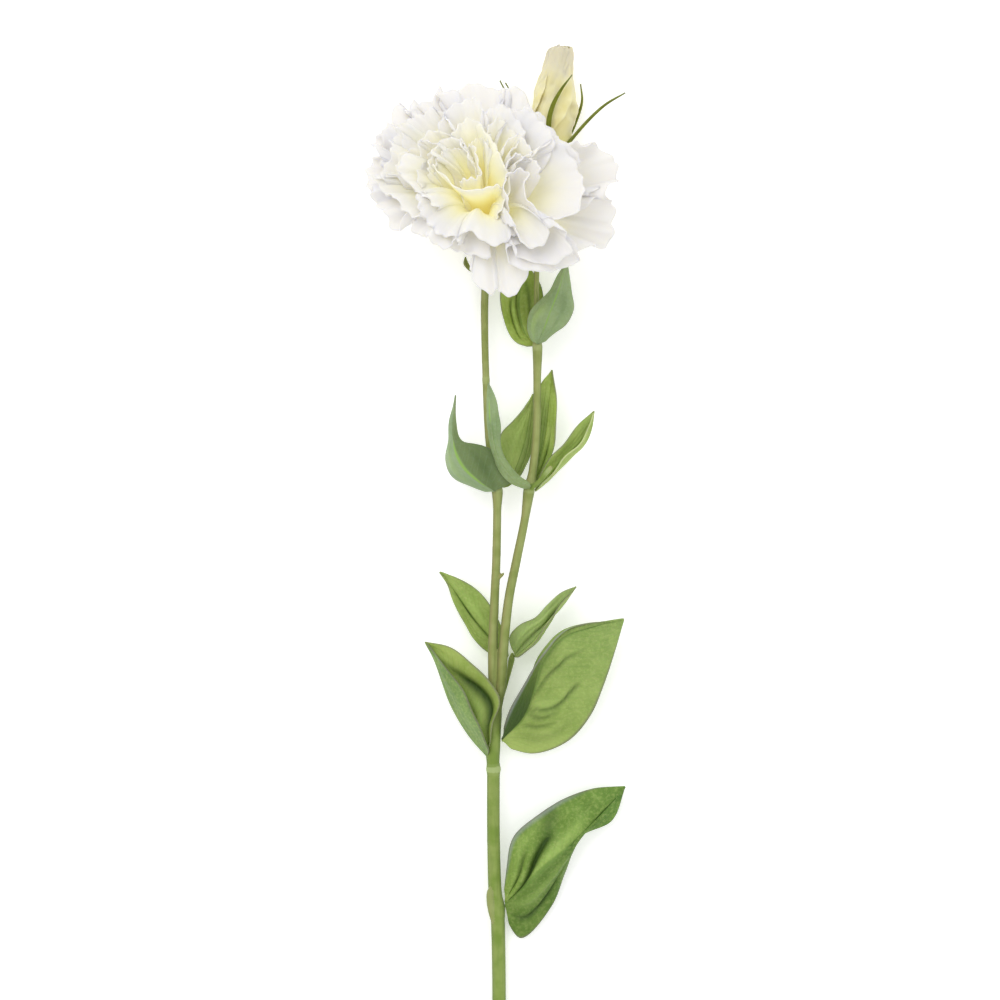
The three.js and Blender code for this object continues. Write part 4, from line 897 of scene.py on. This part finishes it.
# Each petal: lean of its rim from the axis, lift over the dome, folds, frill, whiteness and its margin.
petals = {
    "outer": [
        (92, -3, 4.5, 0.8, 0.9,
         [(27, 7.5), (31, 8.5), (34, 9.6), (37, 9.2), (40, 6), (42.6, 2), (43.4, -2.5), (42, -5.5),
          (38, -7.5)]),
        (102, -5, 5, 0.9, 0.9,
         [(35.5, -7.5), (41.5, -8.5), (43, -12), (42, -18), (42, -23), (38.5, -24.5), (33, -26),
          (27.5, -24.5)]),
        (125, -4, 3, 0.6, 1,
         [(29.5, -24), (31.5, -30.5), (26, -32.5), (22, -33), (16, -33), (9.5, -30.5), (8.5, -24.5)]),
        (142, -8, 2.5, 0.5, 0.85,
         [(14.5, -33), (11.5, -37), (8, -40.6), (4.8, -40.2), (4, -38.4), (2, -40.4), (-1.8, -38.6),
          (-5, -34.6)]),
        (132, -6, 2.5, 0.7, 0.8,
         [(-0.5, -28.5), (-5.5, -27), (-10, -26.2), (-15, -25.2), (-16.5, -21.5), (-21, -21), (-25, -19),
          (-24, -15.5)]),
        (110, -5, 4.5, 1.1, 1,
         [(-18.5, -18), (-23.5, -16), (-29.5, -19), (-32.5, -17.5), (-33.5, -14), (-37, -11.5), (-39, -8.5),
          (-38.5, -5)]),
        (96, -5, 4, 1.1, 0.9,
         [(-39, -6.5), (-40, -3), (-40, 2.5), (-36.5, 2), (-37.5, 6), (-38.5, 9), (-35.5, 12)]),
        (90, -5, 4, 1, 0.9,
         [(-36.5, 8.5), (-35.5, 11.5), (-34, 15.5), (-32.5, 17.5), (-29, 23), (-26, 20.5), (-23.5, 19.5)]),
        (86, -6, 2.5, 0.7, 1,
         [(-25.5, 20.5), (-24.5, 23.5), (-22.5, 23), (-18.5, 25.5), (-16, 29), (-14.5, 26), (-10, 26)]),
        (80, -8, 2, 0.3, 1, [(-15.5, 24), (-10, 27.5), (-5.5, 30), (-1, 30.5), (4, 29.5), (7.5, 27)]),
        (80, -8, 2, 0.4, 1, [(5, 25.5), (7.5, 28), (11.5, 27), (14, 24), (15, 21), (18.5, 20)]),
        (86, -4, 2.5, 0.4, 1, [(14, 21), (18, 17.5), (23, 13.5), (24, 11), (27.5, 8), (31, 4.5)]),
    ],
    "middle": [
        (70, -1, 2.4, 1, 0.65,
         [(15.5, 5.5), (19, 9.5), (23, 10.5), (28, 6.5), (32, 0), (32.5, -6.5), (29.5, -12), (24.5, -15)]),
        (122, -1, 2.6, 0.9, 0.8,
         [(21, -17), (26.5, -20.5), (28, -26), (23, -30.5), (16, -29.5), (9.5, -27), (7.5, -21.5)]),
        (116, 1, 1.2, 0.5, 0.6, [(8.5, -17.5), (10, -21), (13, -24), (17, -23.5), (20, -20.5), (19.5, -17)]),
        (120, 0, 2.4, 0.9, 0.6,
         [(8, -21.5), (4, -23.5), (-1, -23), (-5.5, -20), (-10, -21.5), (-15, -24.5), (-19, -21.5)]),
        (116, -1, 2.2, 0.9, 0.6, [(-10, -22), (-15, -21.5), (-18.5, -18), (-21.5, -14), (-22, -10)]),
        (97, -1, 2.6, 0.9, 0.5,
         [(-23.5, -14), (-28.5, -11), (-33, -9), (-36.5, -5), (-37.5, -1.5), (-34, -0.5)]),
        (82, -1, 2.6, 1, 0.5, [(-35, 0.5), (-32.5, 5.5), (-33, 9.5), (-30.5, 13.5), (-26.5, 15.5)]),
        (75, -2, 2, 0.9, 0.6, [(-28.5, 13), (-25, 17.5), (-21, 20), (-18, 23), (-14.5, 19.5), (-12.5, 16)]),
        (65, -3, 1.6, 0.6, 0.6, [(-15, 17.5), (-12, 22.5), (-6.5, 24), (-2, 23), (0.5, 18.5)]),
        (65, -3, 1.6, 0.6, 0.6, [(-2, 18.5), (1.5, 21), (7, 20.5), (10.5, 17.5), (12.5, 13)]),
        (75, -2, 1.6, 0.6, 0.8, [(6, 18.5), (9.5, 20.5), (13.5, 20), (18, 17.5), (21, 13), (22, 8.5)]),
    ],
    "inner": [
        (38, -2, 1.6, 0.8, 0.35, [(-19.5, 2), (-18, 6.5), (-13.5, 9.5), (-9, 9.5), (-5.5, 5)]),
        (62, -1, 2.2, 1.1, 0.4, [(-29, 1.5), (-28.5, 6), (-25, 9.5), (-21, 11.5), (-16.5, 9.5)]),
        (48, -2, 2, 1, 0.35, [(-22, 7), (-18.5, 12.5), (-13.5, 14), (-9.5, 13), (-8, 9.5)]),
        (42, -2, 1.8, 0.9, 0.3, [(-13, 12), (-9, 16), (-4.5, 17), (-1, 14), (0, 10)]),
        (42, -2, 1.8, 0.9, 0.35, [(-0.5, 13.5), (3.5, 17.5), (7.5, 16), (10.5, 11.5), (9.5, 7)]),
        (46, -1, 1, 0.6, 0.4, [(7.5, 10), (11, 12), (14.5, 9.5), (15.5, 6), (11.5, 3.5)]),
        (38, -1, 1.4, 0.6, 0.8, [(9, 3.5), (10, 6.5), (12.5, 6.5), (16, 5), (18, 1.5)]),
        (24, 0, 1.6, 0.7, 1,
         [(21.5, -15.5), (18.5, -14), (16, -9), (14, -5.5), (14.5, -1), (12, 0.5), (8.5, 0), (7, -3),
          (7, -8.5)]),
        (84, 0, 1.8, 1.1, 0.45, [(-18, -10), (-21, -6.5), (-25.5, -3), (-28.5, 0), (-25.5, 4.5)]),
        (56, -1, 2.2, 1, 0.4,
         [(-20, -8), (-21.5, -4), (-23.5, -1.5), (-23, 2.5), (-19.5, 5.5), (-15.5, 4.5)]),
    ],
    "heart": [
        (8, 0, 1.2, 0.8, 0.15, [(-18, 2.5), (-15, -0.5), (-10, -4), (-5.5, -5.5), (-1, -5.5), (3.5, -3.5)]),
        (46, -2, 1.2, 0.7, 0.15,
         [(-2, 15.5), (0.5, 11.5), (2.5, 8.5), (4, 5.5), (6.5, 0), (7.5, -3), (7, -8), (4.5, -12.5)]),
        (24, -4, 0.8, 0.6, 0.1, [(-5.5, 8), (-4, 10.5), (-1.5, 11.5), (0.5, 10)]),
        (4, -2, 1.2, 0.8, 0.3, [(-5, 9), (-4, 5.5), (-2.5, 0), (-4.5, -2.5), (-7.5, -3)]),
        (30, -3, 1.2, 0.9, 0.3, [(-16.5, 1.5), (-15, 6), (-12, 8.5), (-9, 9), (-6.5, 7)]),
    ],
}


def axisFrame(base, axis):
    # places given as (right, far, along) in a frame whose third direction is the axis
    along = np.array(axis, float) / np.linalg.norm(axis)
    right = np.array([1.0, 0, 0]) - along * along[0]
    right /= np.linalg.norm(right)
    far = np.cross(along, right)
    return lambda r, f, a: (
        np.array(base) + np.multiply.outer(r, right) + np.multiply.outer(f, far) + np.multiply.outer(a, along)
    )


bloomLean = math.radians(bloomLook["lean"])
bloomAxis = (0, math.sin(bloomLean), math.cos(bloomLean))


def marginLine(lift, margin):
    # lays a margin on the dome and turns both its ends in towards the root
    halfWidth, halfLength, topNear, height = bloomLook["dome"]
    x, y = np.array(margin, float).T
    room = 1 - (x / halfWidth) ** 2 - ((y + topNear) / halfLength) ** 2
    z = height * np.sqrt(np.maximum(room, 0)) + lift
    x0, y0 = bloomLook["heart"]
    slant, level = bloomLook["slant"]
    line = np.stack([x0 + x, y0 + y - slant * (z - level), z], axis=1)
    base = np.array(bloomLook["base"])

    def shoulders(end, beside):
        onward = (end - beside) / np.linalg.norm(end - beside)
        return [end + past * onward + turned * (base - end) for past, turned in bloomLook["shoulder"]]

    return np.vstack([shoulders(line[0], line[1])[::-1], line, shoulders(line[-1], line[-2])])


def petalSurface(layer, seed, rimLean, lift, folds, frill, margin):
    line = marginLine(lift, margin)
    axis, base = np.array(bloomAxis), np.array(bloomLook["base"])
    lean = math.radians(rimLean)
    draw = random.Random(seed)
    own = [draw.uniform(0, fullTurn) for _ in range(4)]

    def sheetPoints(v, rim, out, heading):
        # a curve from the root up the claw and out to the rim, at each place across
        hangFrom, hangFull, hangRise = bloomLook["hanging"]
        reach = layer["claw"] + bloomLook["rise"] + hangRise * smoothStep(hangFrom, hangFull, rimLean)
        root = base + out * layer["root"]
        second = root + axis * reach + out * layer["root"] * 0.5
        third = rim - heading * layer["arrive"]
        w = v[:, None]
        return (1 - w) ** 3 * root + 3 * (1 - w) ** 2 * w * second + 3 * (1 - w) * w**2 * third + w**3 * rim

    def relief(u, v):
        # how far the sheet rises from that curve, and how far it shifts along it
        ruffle, waves = layer["ruffle"]
        swing = folds * math.pi * u + own[0] + 0.7 * np.sin(2.2 * u + own[1])
        rise = layer["fold"] * v**2.4 * (np.sin(swing) + 0.25 * np.sin(2 * swing + own[2]))
        curl = waves * math.pi * u + own[3]
        curl = curl + 1.6 * np.sin(3 * u + own[1]) + 0.8 * np.sin(9 * u + own[2])
        grown = v**3.5 * frill * (0.7 + 0.3 * softNoise(seed + 7, 3 * u, 0 * u))
        rise = rise + ruffle * grown * np.sin(curl)
        shift = 0.35 * ruffle * grown * np.cos(curl + 0.6)
        for height, step, across, along in bloomLook["billows"]:
            rise = rise + height * softNoise(seed + step, across * u, along * v) * v
        crimp = 10 * math.pi * u + 1.2 * np.sin(5 * u + own[2]) + own[1]
        height, reach = bloomLook["crimp"]
        rise = rise + height * frill * v**8 * np.sin(crimp)
        shift = shift + reach * frill * v**8 * np.cos(crimp * 1.1 + 1)
        return rise, shift + bloomLook["nicks"] * frill * softNoise(seed + 3, 7 * u, 0 * u) * v**4

    def surface(u, v):
        share = (u + 1) / 2
        rim = smoothLine(line, share)
        offset = rim - base
        out = unit(offset - np.outer(offset @ axis, axis))
        heading = out * math.sin(lean) + axis * math.cos(lean)
        beside = smoothLine(line, share + 0.02) - smoothLine(line, share - 0.02)
        normal = unit(np.cross(heading, beside))
        rise, shift = relief(u, v)
        points = sheetPoints(v, rim, out, heading)
        return pressed(points + normal * rise[:, None] + heading * shift[:, None])

    return surface


def makePetal(layer, seed, petal):
    rimLean, lift, folds, frill, white, margin = petal
    surface = petalSurface(layer, seed, rimLean, lift, folds, frill, margin)
    return newSheet("petal", layer["grid"], bloomLook["thickness"], surface, white=white)


def petalMaterial():
    material, tree, shader, place = newSkin("petal_white", {
        "Specular IOR Level": 0.25, "Subsurface Weight": 0.5, "Subsurface Radius": (1.0, 0.9, 0.6),
        "Subsurface Scale": 1.6 * mm, "Emission Strength": 0.15,
    })
    u, v, white = attributes(tree, "across", "along", "white")
    opened = v + noise(tree, place, 90.0, 3.0) * 0.14 - (1 - white) * 0.45 - 0.07
    # faint veins run to the rim
    ray = nodeIn(tree, "ShaderNodeCombineXYZ", {}, [u * 26.0, v * 3.0, white * 7.0])
    veins = noise(tree, ray, 1.0, 4.0)
    colour = coated(
        mixColours(opened.within(0.05, 0.4), *bloomLook["cream"]),
        (opened.within(0.32, 0.86), bloomLook["white"]),
        (veins.within(0.45, 0.8) * 0.12, bloomLook["vein"]),
    )
    # painted glow: the petals give off light of their own, in their own colour in the cream heart and a dim
    # grey where they are white, standing in for light coming through and between the folds
    glow = mixColours(opened.within(0.2, 0.8), colour, bloomLook["paleGlow"])
    relief = raised(0.25, 0.2, veins)
    feed(tree, shader, colour=colour, roughness=veins * 0.2 + 0.45, normal=relief, glow=glow)
    return material


def makeBloom():
    petalSkin = petalMaterial()
    for name, layer in layers.items():
        made = [makePetal(layer, seed, petal) for seed, petal in enumerate(petals[name], firstSeeds[name])]
        piece = joined("bloom_" + name, made)
        finished(piece, "petal", ["bloom"], petalSkin)
        print("bloom", name, "made:", len(piece.data.polygons), "faces")


makeBloom()

calyxLook = {
    "grid": (12, 44),
    "thickness": 0.5,
    "tip": 0.04,  # half width at a sepal's tip
    "taper": 0.9,
    "keel": 0.35,  # how far a sepal's edges fold in, as a share of its half width
    "leanSteps": 16,  # pieces that the line of a leaning sepal is summed from
    "around": 36,
    "patches": [(96, 102, 20), (118, 126, 38)],
    "tipColour": (110, 118, 68),
    "edgeColour": (138, 150, 72),
}
bloomCalyx = {
    "half": 2.0,
    "root": (2.0, -3.2),  # how far out and up the sepals start
    # each sepal: direction round the axis, length, and lean at the base and at the tip
    "sepals": [(232, 16, 95, -10), (262, 16, 62, 70), (330, 17, 66, 76), (40, 22, 62, 60), (118, 22, 60, 56)],
    # the cup, as radius and height
    "profile": [
        (0, -8.0), (1.5, -8.0), (2.1, -7.2), (2.7, -5.6), (3.3, -4.0), (3.9, -1.2), (4.3, 1.0), (4.1, 1.6),
        (3.8, 1.0), (3.4, -0.2), (0, -0.2),
    ],
}
budCalyx = {
    "half": 0.82,
    # each sepal by the points of its middle line
    "sepals": [
        [
            (19.3, 342.2, 9.2), (17.8, 346.5, 13.2), (16.8, 352, 16.4), (18, 358, 17.3), (20.9, 363.8, 17),
            (24.8, 369.4, 15.4),
        ],
        [(20.6, 342, 8.2), (23.9, 346.6, 10.2), (30.6, 354.2, 12.4), (36.5, 359.6, 13.2), (43, 363.6, 13.2)],
        [(20.8, 342.2, 7), (23.2, 348, 3.6), (26.3, 354.6, 2.7), (28.6, 361.8, 3.4), (28, 367.8, 4.8)],
        [(18.4, 342.2, 7.4), (14.2, 347.6, 5.4), (10.6, 353.6, 4.2), (6.4, 361, 3.4), (2.2, 368.4, 3.2)],
        [(18.6, 342, 6.6), (13, 348, 3.8), (8.2, 354.5, 2.6), (4, 362, 2.2), (0.3, 369.2, 2.8)],
    ],
    "profile": [
        (0, -3.4), (1.2, -3.4), (1.7, -2.5), (2.4, -1.3), (2.9, -0.3), (3.1, 0.7), (2.9, 0.9), (2.6, 0.3),
        (2.4, -0.1), (0, -0.1),
    ],
}
budLook = {
    "base": (19.6, 343.4, 7.95),
    "axis": (0, 1, 0),
    # radius and height
    "profile": [
        (2.4, 0.2), (5.0, 4.5), (7.2, 11), (7.5, 16), (6.9, 21), (5.8, 26), (4.7, 31), (4.5, 34.6),
        (3.9, 36.2), (0.9, 36.8),
    ],
    "frill": (15.5, 2.6, 1.5),  # of its right side: height, half length and how far it stands out
    "leans": [(0, -0.2), (15, -1.0), (26, 0.2), (36, 1.5)],  # height and how far to the right it stands there
    "grid": (72, 60),
    "thickness": 0.34,
    # each furled petal: the angle where its inner edge starts, how far round it goes, its turn from
    # base to tip, its top, how far out its free edge stands and its size
    "petals": [
        (20, 230, 150, 1.0, 0.6, 1), (115, 235, 160, 0.985, 0.4, 1), (215, 230, 150, 0.995, 0.45, 1),
        (300, 220, 155, 0.97, 0.4, 1), (0, 300, 140, 0.96, 0.0, 0.72),
    ],
    "patches": [(228, 217, 154), (238, 230, 184)],
    "top": (212, 204, 180),
    "foot": (214, 214, 136),
    "vein": (208, 198, 140),
    "edge": (240, 234, 204),
}


def cup(profile, base, axis):
    # a profile turned round an axis
    inFrame = axisFrame(base, axis)

    def place(row, turn):
        radius, height = np.array(profile, float)[row].T
        return inFrame(radius * np.cos(turn), radius * np.sin(turn), height)

    made = rolled("cup", calyxLook["around"], len(profile) - 1, place)
    applied(made, "SUBSURF", levels=2, render_levels=2)
    return made


def sepal(surface):
    return newSheet("sepal", calyxLook["grid"], calyxLook["thickness"], surface)


def sepalHalf(v, half):
    return half * np.sin(math.pi * (0.25 + 0.75 * v)) ** calyxLook["taper"] + calyxLook["tip"]


def leaningLine(length, leanBase, leanTip, share):
    # how far out and up the line has come at each share of its length, and its lean there
    def leanAt(t):
        return np.radians(leanBase + (leanTip - leanBase) * t)

    steps = calyxLook["leanSteps"]
    out = up = 0 * share
    for k in range(steps):
        angle = leanAt((k + 0.5) / steps * share)
        out = out + np.sin(angle) * length * share / steps
        up = up + np.cos(angle) * length * share / steps
    return out, up, leanAt(share)


def leaningSepal(fact, calyx, place):
    direction, length, leanBase, leanTip = fact
    turn = math.radians(direction)
    rootOut, rootUp = calyx["root"]

    def surface(u, v):
        out, up, angle = leaningLine(length, leanBase, leanTip, v)
        half = sepalHalf(v, calyx["half"])
        keel = half * np.abs(u) * calyxLook["keel"]
        up = rootUp + up + keel * np.sin(angle)
        out = rootOut + out - keel * np.cos(angle)
        x = out * math.cos(turn) - half * u * math.sin(turn)
        y = out * math.sin(turn) + half * u * math.cos(turn)
        return pressed(place(x, y, up))

    return surface


def drawnSepal(points, core):
    # follows a drawn line, with its inner face towards the core's axis
    step = 1e-3

    def surface(u, v):
        middle = smoothLine(points, v)
        ahead, behind = (smoothLine(points, np.clip(v + way, 0, 1)) for way in (step, -step))
        along = unit(ahead - behind)
        inward = np.array([core[0], 0, core[2]]) - middle * np.array([1, 0, 1])
        inward = unit(inward - along * (inward * along).sum(1, keepdims=True))
        side = np.cross(along, inward)
        half = sepalHalf(v, budCalyx["half"])[:, None]
        keel = inward * half * np.abs(u)[:, None] * calyxLook["keel"]
        return pressed(middle + side * half * u[:, None] + keel)

    return surface


def calyxMaterial():
    material, tree, shader, place = newSkin("calyx_green", {"Specular IOR Level": 0.15, "Roughness": 0.5})
    u, v = attributes(tree, "across", "along")
    patches = noise(tree, place, 300.0, 4.0)
    colour = coated(
        mixColours(patches.within(0.35, 0.65), *calyxLook["patches"]),
        (v.within(0.75, 1.0) * 0.6, calyxLook["tipColour"]),
        (abs(u).within(0.5, 1.0) * 0.5, calyxLook["edgeColour"]),
    )
    feed(tree, shader, colour=colour, roughness=patches * 0.2 + 0.42, normal=raised(0.3, 0.2, patches))
    return material


def makeCalyces():
    calyxSkin = calyxMaterial()
    place = axisFrame(bloomLook["base"], bloomAxis)
    made = [sepal(leaningSepal(fact, bloomCalyx, place)) for fact in bloomCalyx["sepals"]]
    made.append(cup(bloomCalyx["profile"], bloomLook["base"], bloomAxis))
    finished(joined("bloom_sepals", made), "calyx", ["bloom_calyx"], calyxSkin)
    made = [sepal(drawnSepal(points, budLook["base"])) for points in budCalyx["sepals"]]
    made.append(cup(budCalyx["profile"], budLook["base"], budLook["axis"]))
    finished(joined("bud_sepals", made), "calyx", ["bud_calyx"], calyxSkin)
    print("calyces made")


makeCalyces()


def furledSurface(start, span, twist, top, flare, size):
    # a petal wound round the bud's axis, from its inner edge to its free edge
    radii, heights = np.array(budLook["profile"]).T
    place = axisFrame(budLook["base"], budLook["axis"])

    def surface(u, v):
        share = (u + 1) / 2
        rim = 1 - 0.03 * np.abs(u) ** 3 + 0.014 * np.sin(7 * u + start) + 0.006 * np.sin(24 * u + 2 * start)
        height = heights[0] + (heights[-1] - heights[0]) * v * (top * rim)
        wrap = 0.6 + 0.4 * np.sin(math.pi * np.clip(v, 0, 1) ** 0.7)
        turn = np.radians(start + span * share * wrap + twist * v)
        radius = np.interp(height, heights, radii) * size * (0.84 + 0.16 * share)
        # the free edge's flare, long furrows, a crinkled top and edge, and finer unevenness
        for relief in (
            flare * smoothStep(0.85, 1, share) * np.sin(math.pi * v**0.8),
            0.18 * np.sin(5 * turn + 9 * v + start) * v,
            0.35 * np.sin(13 * share + start) * smoothStep(0.7, 0.95, v),
            0.3 * np.sin(40 * v + start) * smoothStep(0.86, 1, share),
            0.45 * softNoise(start, 9 * share, 14 * v) * smoothStep(0.1, 0.3, v),
            0.22 * softNoise(start + 3, 26 * share, 30 * v) * smoothStep(0.3, 0.7, v),
        ):
            radius = radius + relief
        at, length, out = budLook["frill"]
        radius = radius + out * bump(height, at, length) * smoothStep(0.8, 1.0, np.cos(turn)) * size
        across = np.interp(height, *np.array(budLook["leans"]).T)
        return place(radius * np.cos(turn) + across, radius * np.sin(turn), height)

    return surface


def makeBud():
    surfaces = [furledSurface(*petal) for petal in budLook["petals"]]
    made = [newSheet("furl", budLook["grid"], budLook["thickness"], surface) for surface in surfaces]
    return joined("bud_furled", made)


def budMaterial():
    material, tree, shader, place = newSkin("bud_cream", {
        "Specular IOR Level": 0.25, "Subsurface Weight": 0.3, "Subsurface Radius": (1.0, 0.9, 0.4),
        "Subsurface Scale": 1.2 * mm, "Emission Strength": 0.04,
    })
    u, v = attributes(tree, "across", "along")
    patches = noise(tree, place, 150.0, 4.0)
    ray = nodeIn(tree, "ShaderNodeCombineXYZ", {}, [u * 30.0, v * 3.0, 0.0])
    veins = noise(tree, ray, 1.0, 4.0)
    colour = coated(
        mixColours(patches.within(0.3, 0.7), *budLook["patches"]),
        ((v + patches * 0.3).within(0.65, 1.1) * 0.9, budLook["top"]),
        ((1 - v.within(0.0, 0.25)) * 0.6, budLook["foot"]),
        (veins.within(0.5, 0.8) * 0.2, budLook["vein"]),
        (u.within(0.93, 1.0) * 0.25, budLook["edge"]),
    )
    relief = raised(0.25, 0.2, veins)
    # painted glow: the bud gives off a faint light in its own colour
    feed(tree, shader, colour=colour, roughness=veins * 0.2 + 0.45, normal=relief, glow=colour)
    return material


finished(makeBud(), "bud_petal", ["bud"], budMaterial())
print("bud made")

studio = {
    "floorSize": 6.0,
    "floorDrop": 0.1 * mm,
    "floorColour": (250, 250, 250),
    "floorGlow": 0.3,
    "white": (1, 1, 1, 1),
    "world": 0.82,
    "lights": {
        "key": {"at": (-0.55, 0.75, 1.25), "size": 0.9, "power": 6.0},
        "fill": {"at": (0.8, -0.3, 1.1), "size": 1.2, "power": 2.0},
    },
    "lens": 100,
    "sensor": 36,
    "clipEnd": 20,
    "view": 0.340,  # metres across the picture
    "middle": (0.0019, 0.0352, 0.014),
}


def makeFloor():
    bpy.ops.object.select_all(action="DESELECT")
    bpy.ops.mesh.primitive_plane_add(size=studio["floorSize"], location=(0, 0, -studio["floorDrop"]))
    floor = bpy.context.object
    floor.name = "floor"
    material, _, _ = newMaterial("floor_paper", {
        "Roughness": 0.9, "Specular IOR Level": 0.1, "Base Color": linear(studio["floorColour"]),
        "Emission Color": studio["white"], "Emission Strength": studio["floorGlow"],
    })
    floor.data.materials.append(material)


def makeLight():
    world = bpy.data.worlds.new("studio")
    world.use_nodes = True
    background = world.node_tree.nodes["Background"]
    background.inputs["Color"].default_value = studio["white"]
    background.inputs["Strength"].default_value = studio["world"]
    bpy.context.scene.world = world
    for name, facts in studio["lights"].items():
        bpy.ops.object.light_add(type="AREA", location=facts["at"])
        light = bpy.context.object
        light.name = name + "_light"
        light.data.size = facts["size"]
        light.data.energy = facts["power"]
        light.rotation_euler = (-light.location).to_track_quat("-Z", "Y").to_euler()


def makeCamera():
    x, y, z = studio["middle"]
    away = studio["view"] * studio["lens"] / studio["sensor"]
    bpy.ops.object.camera_add(location=(x, y, z + away), rotation=(0, 0, 0))
    camera = bpy.context.object
    camera.data.lens = studio["lens"]
    camera.data.sensor_width = studio["sensor"]
    camera.data.clip_end = studio["clipEnd"]
    bpy.context.scene.camera = camera
    bpy.context.scene.view_settings.view_transform = "Standard"


makeFloor()
makeLight()
makeCamera()
print("studio made")
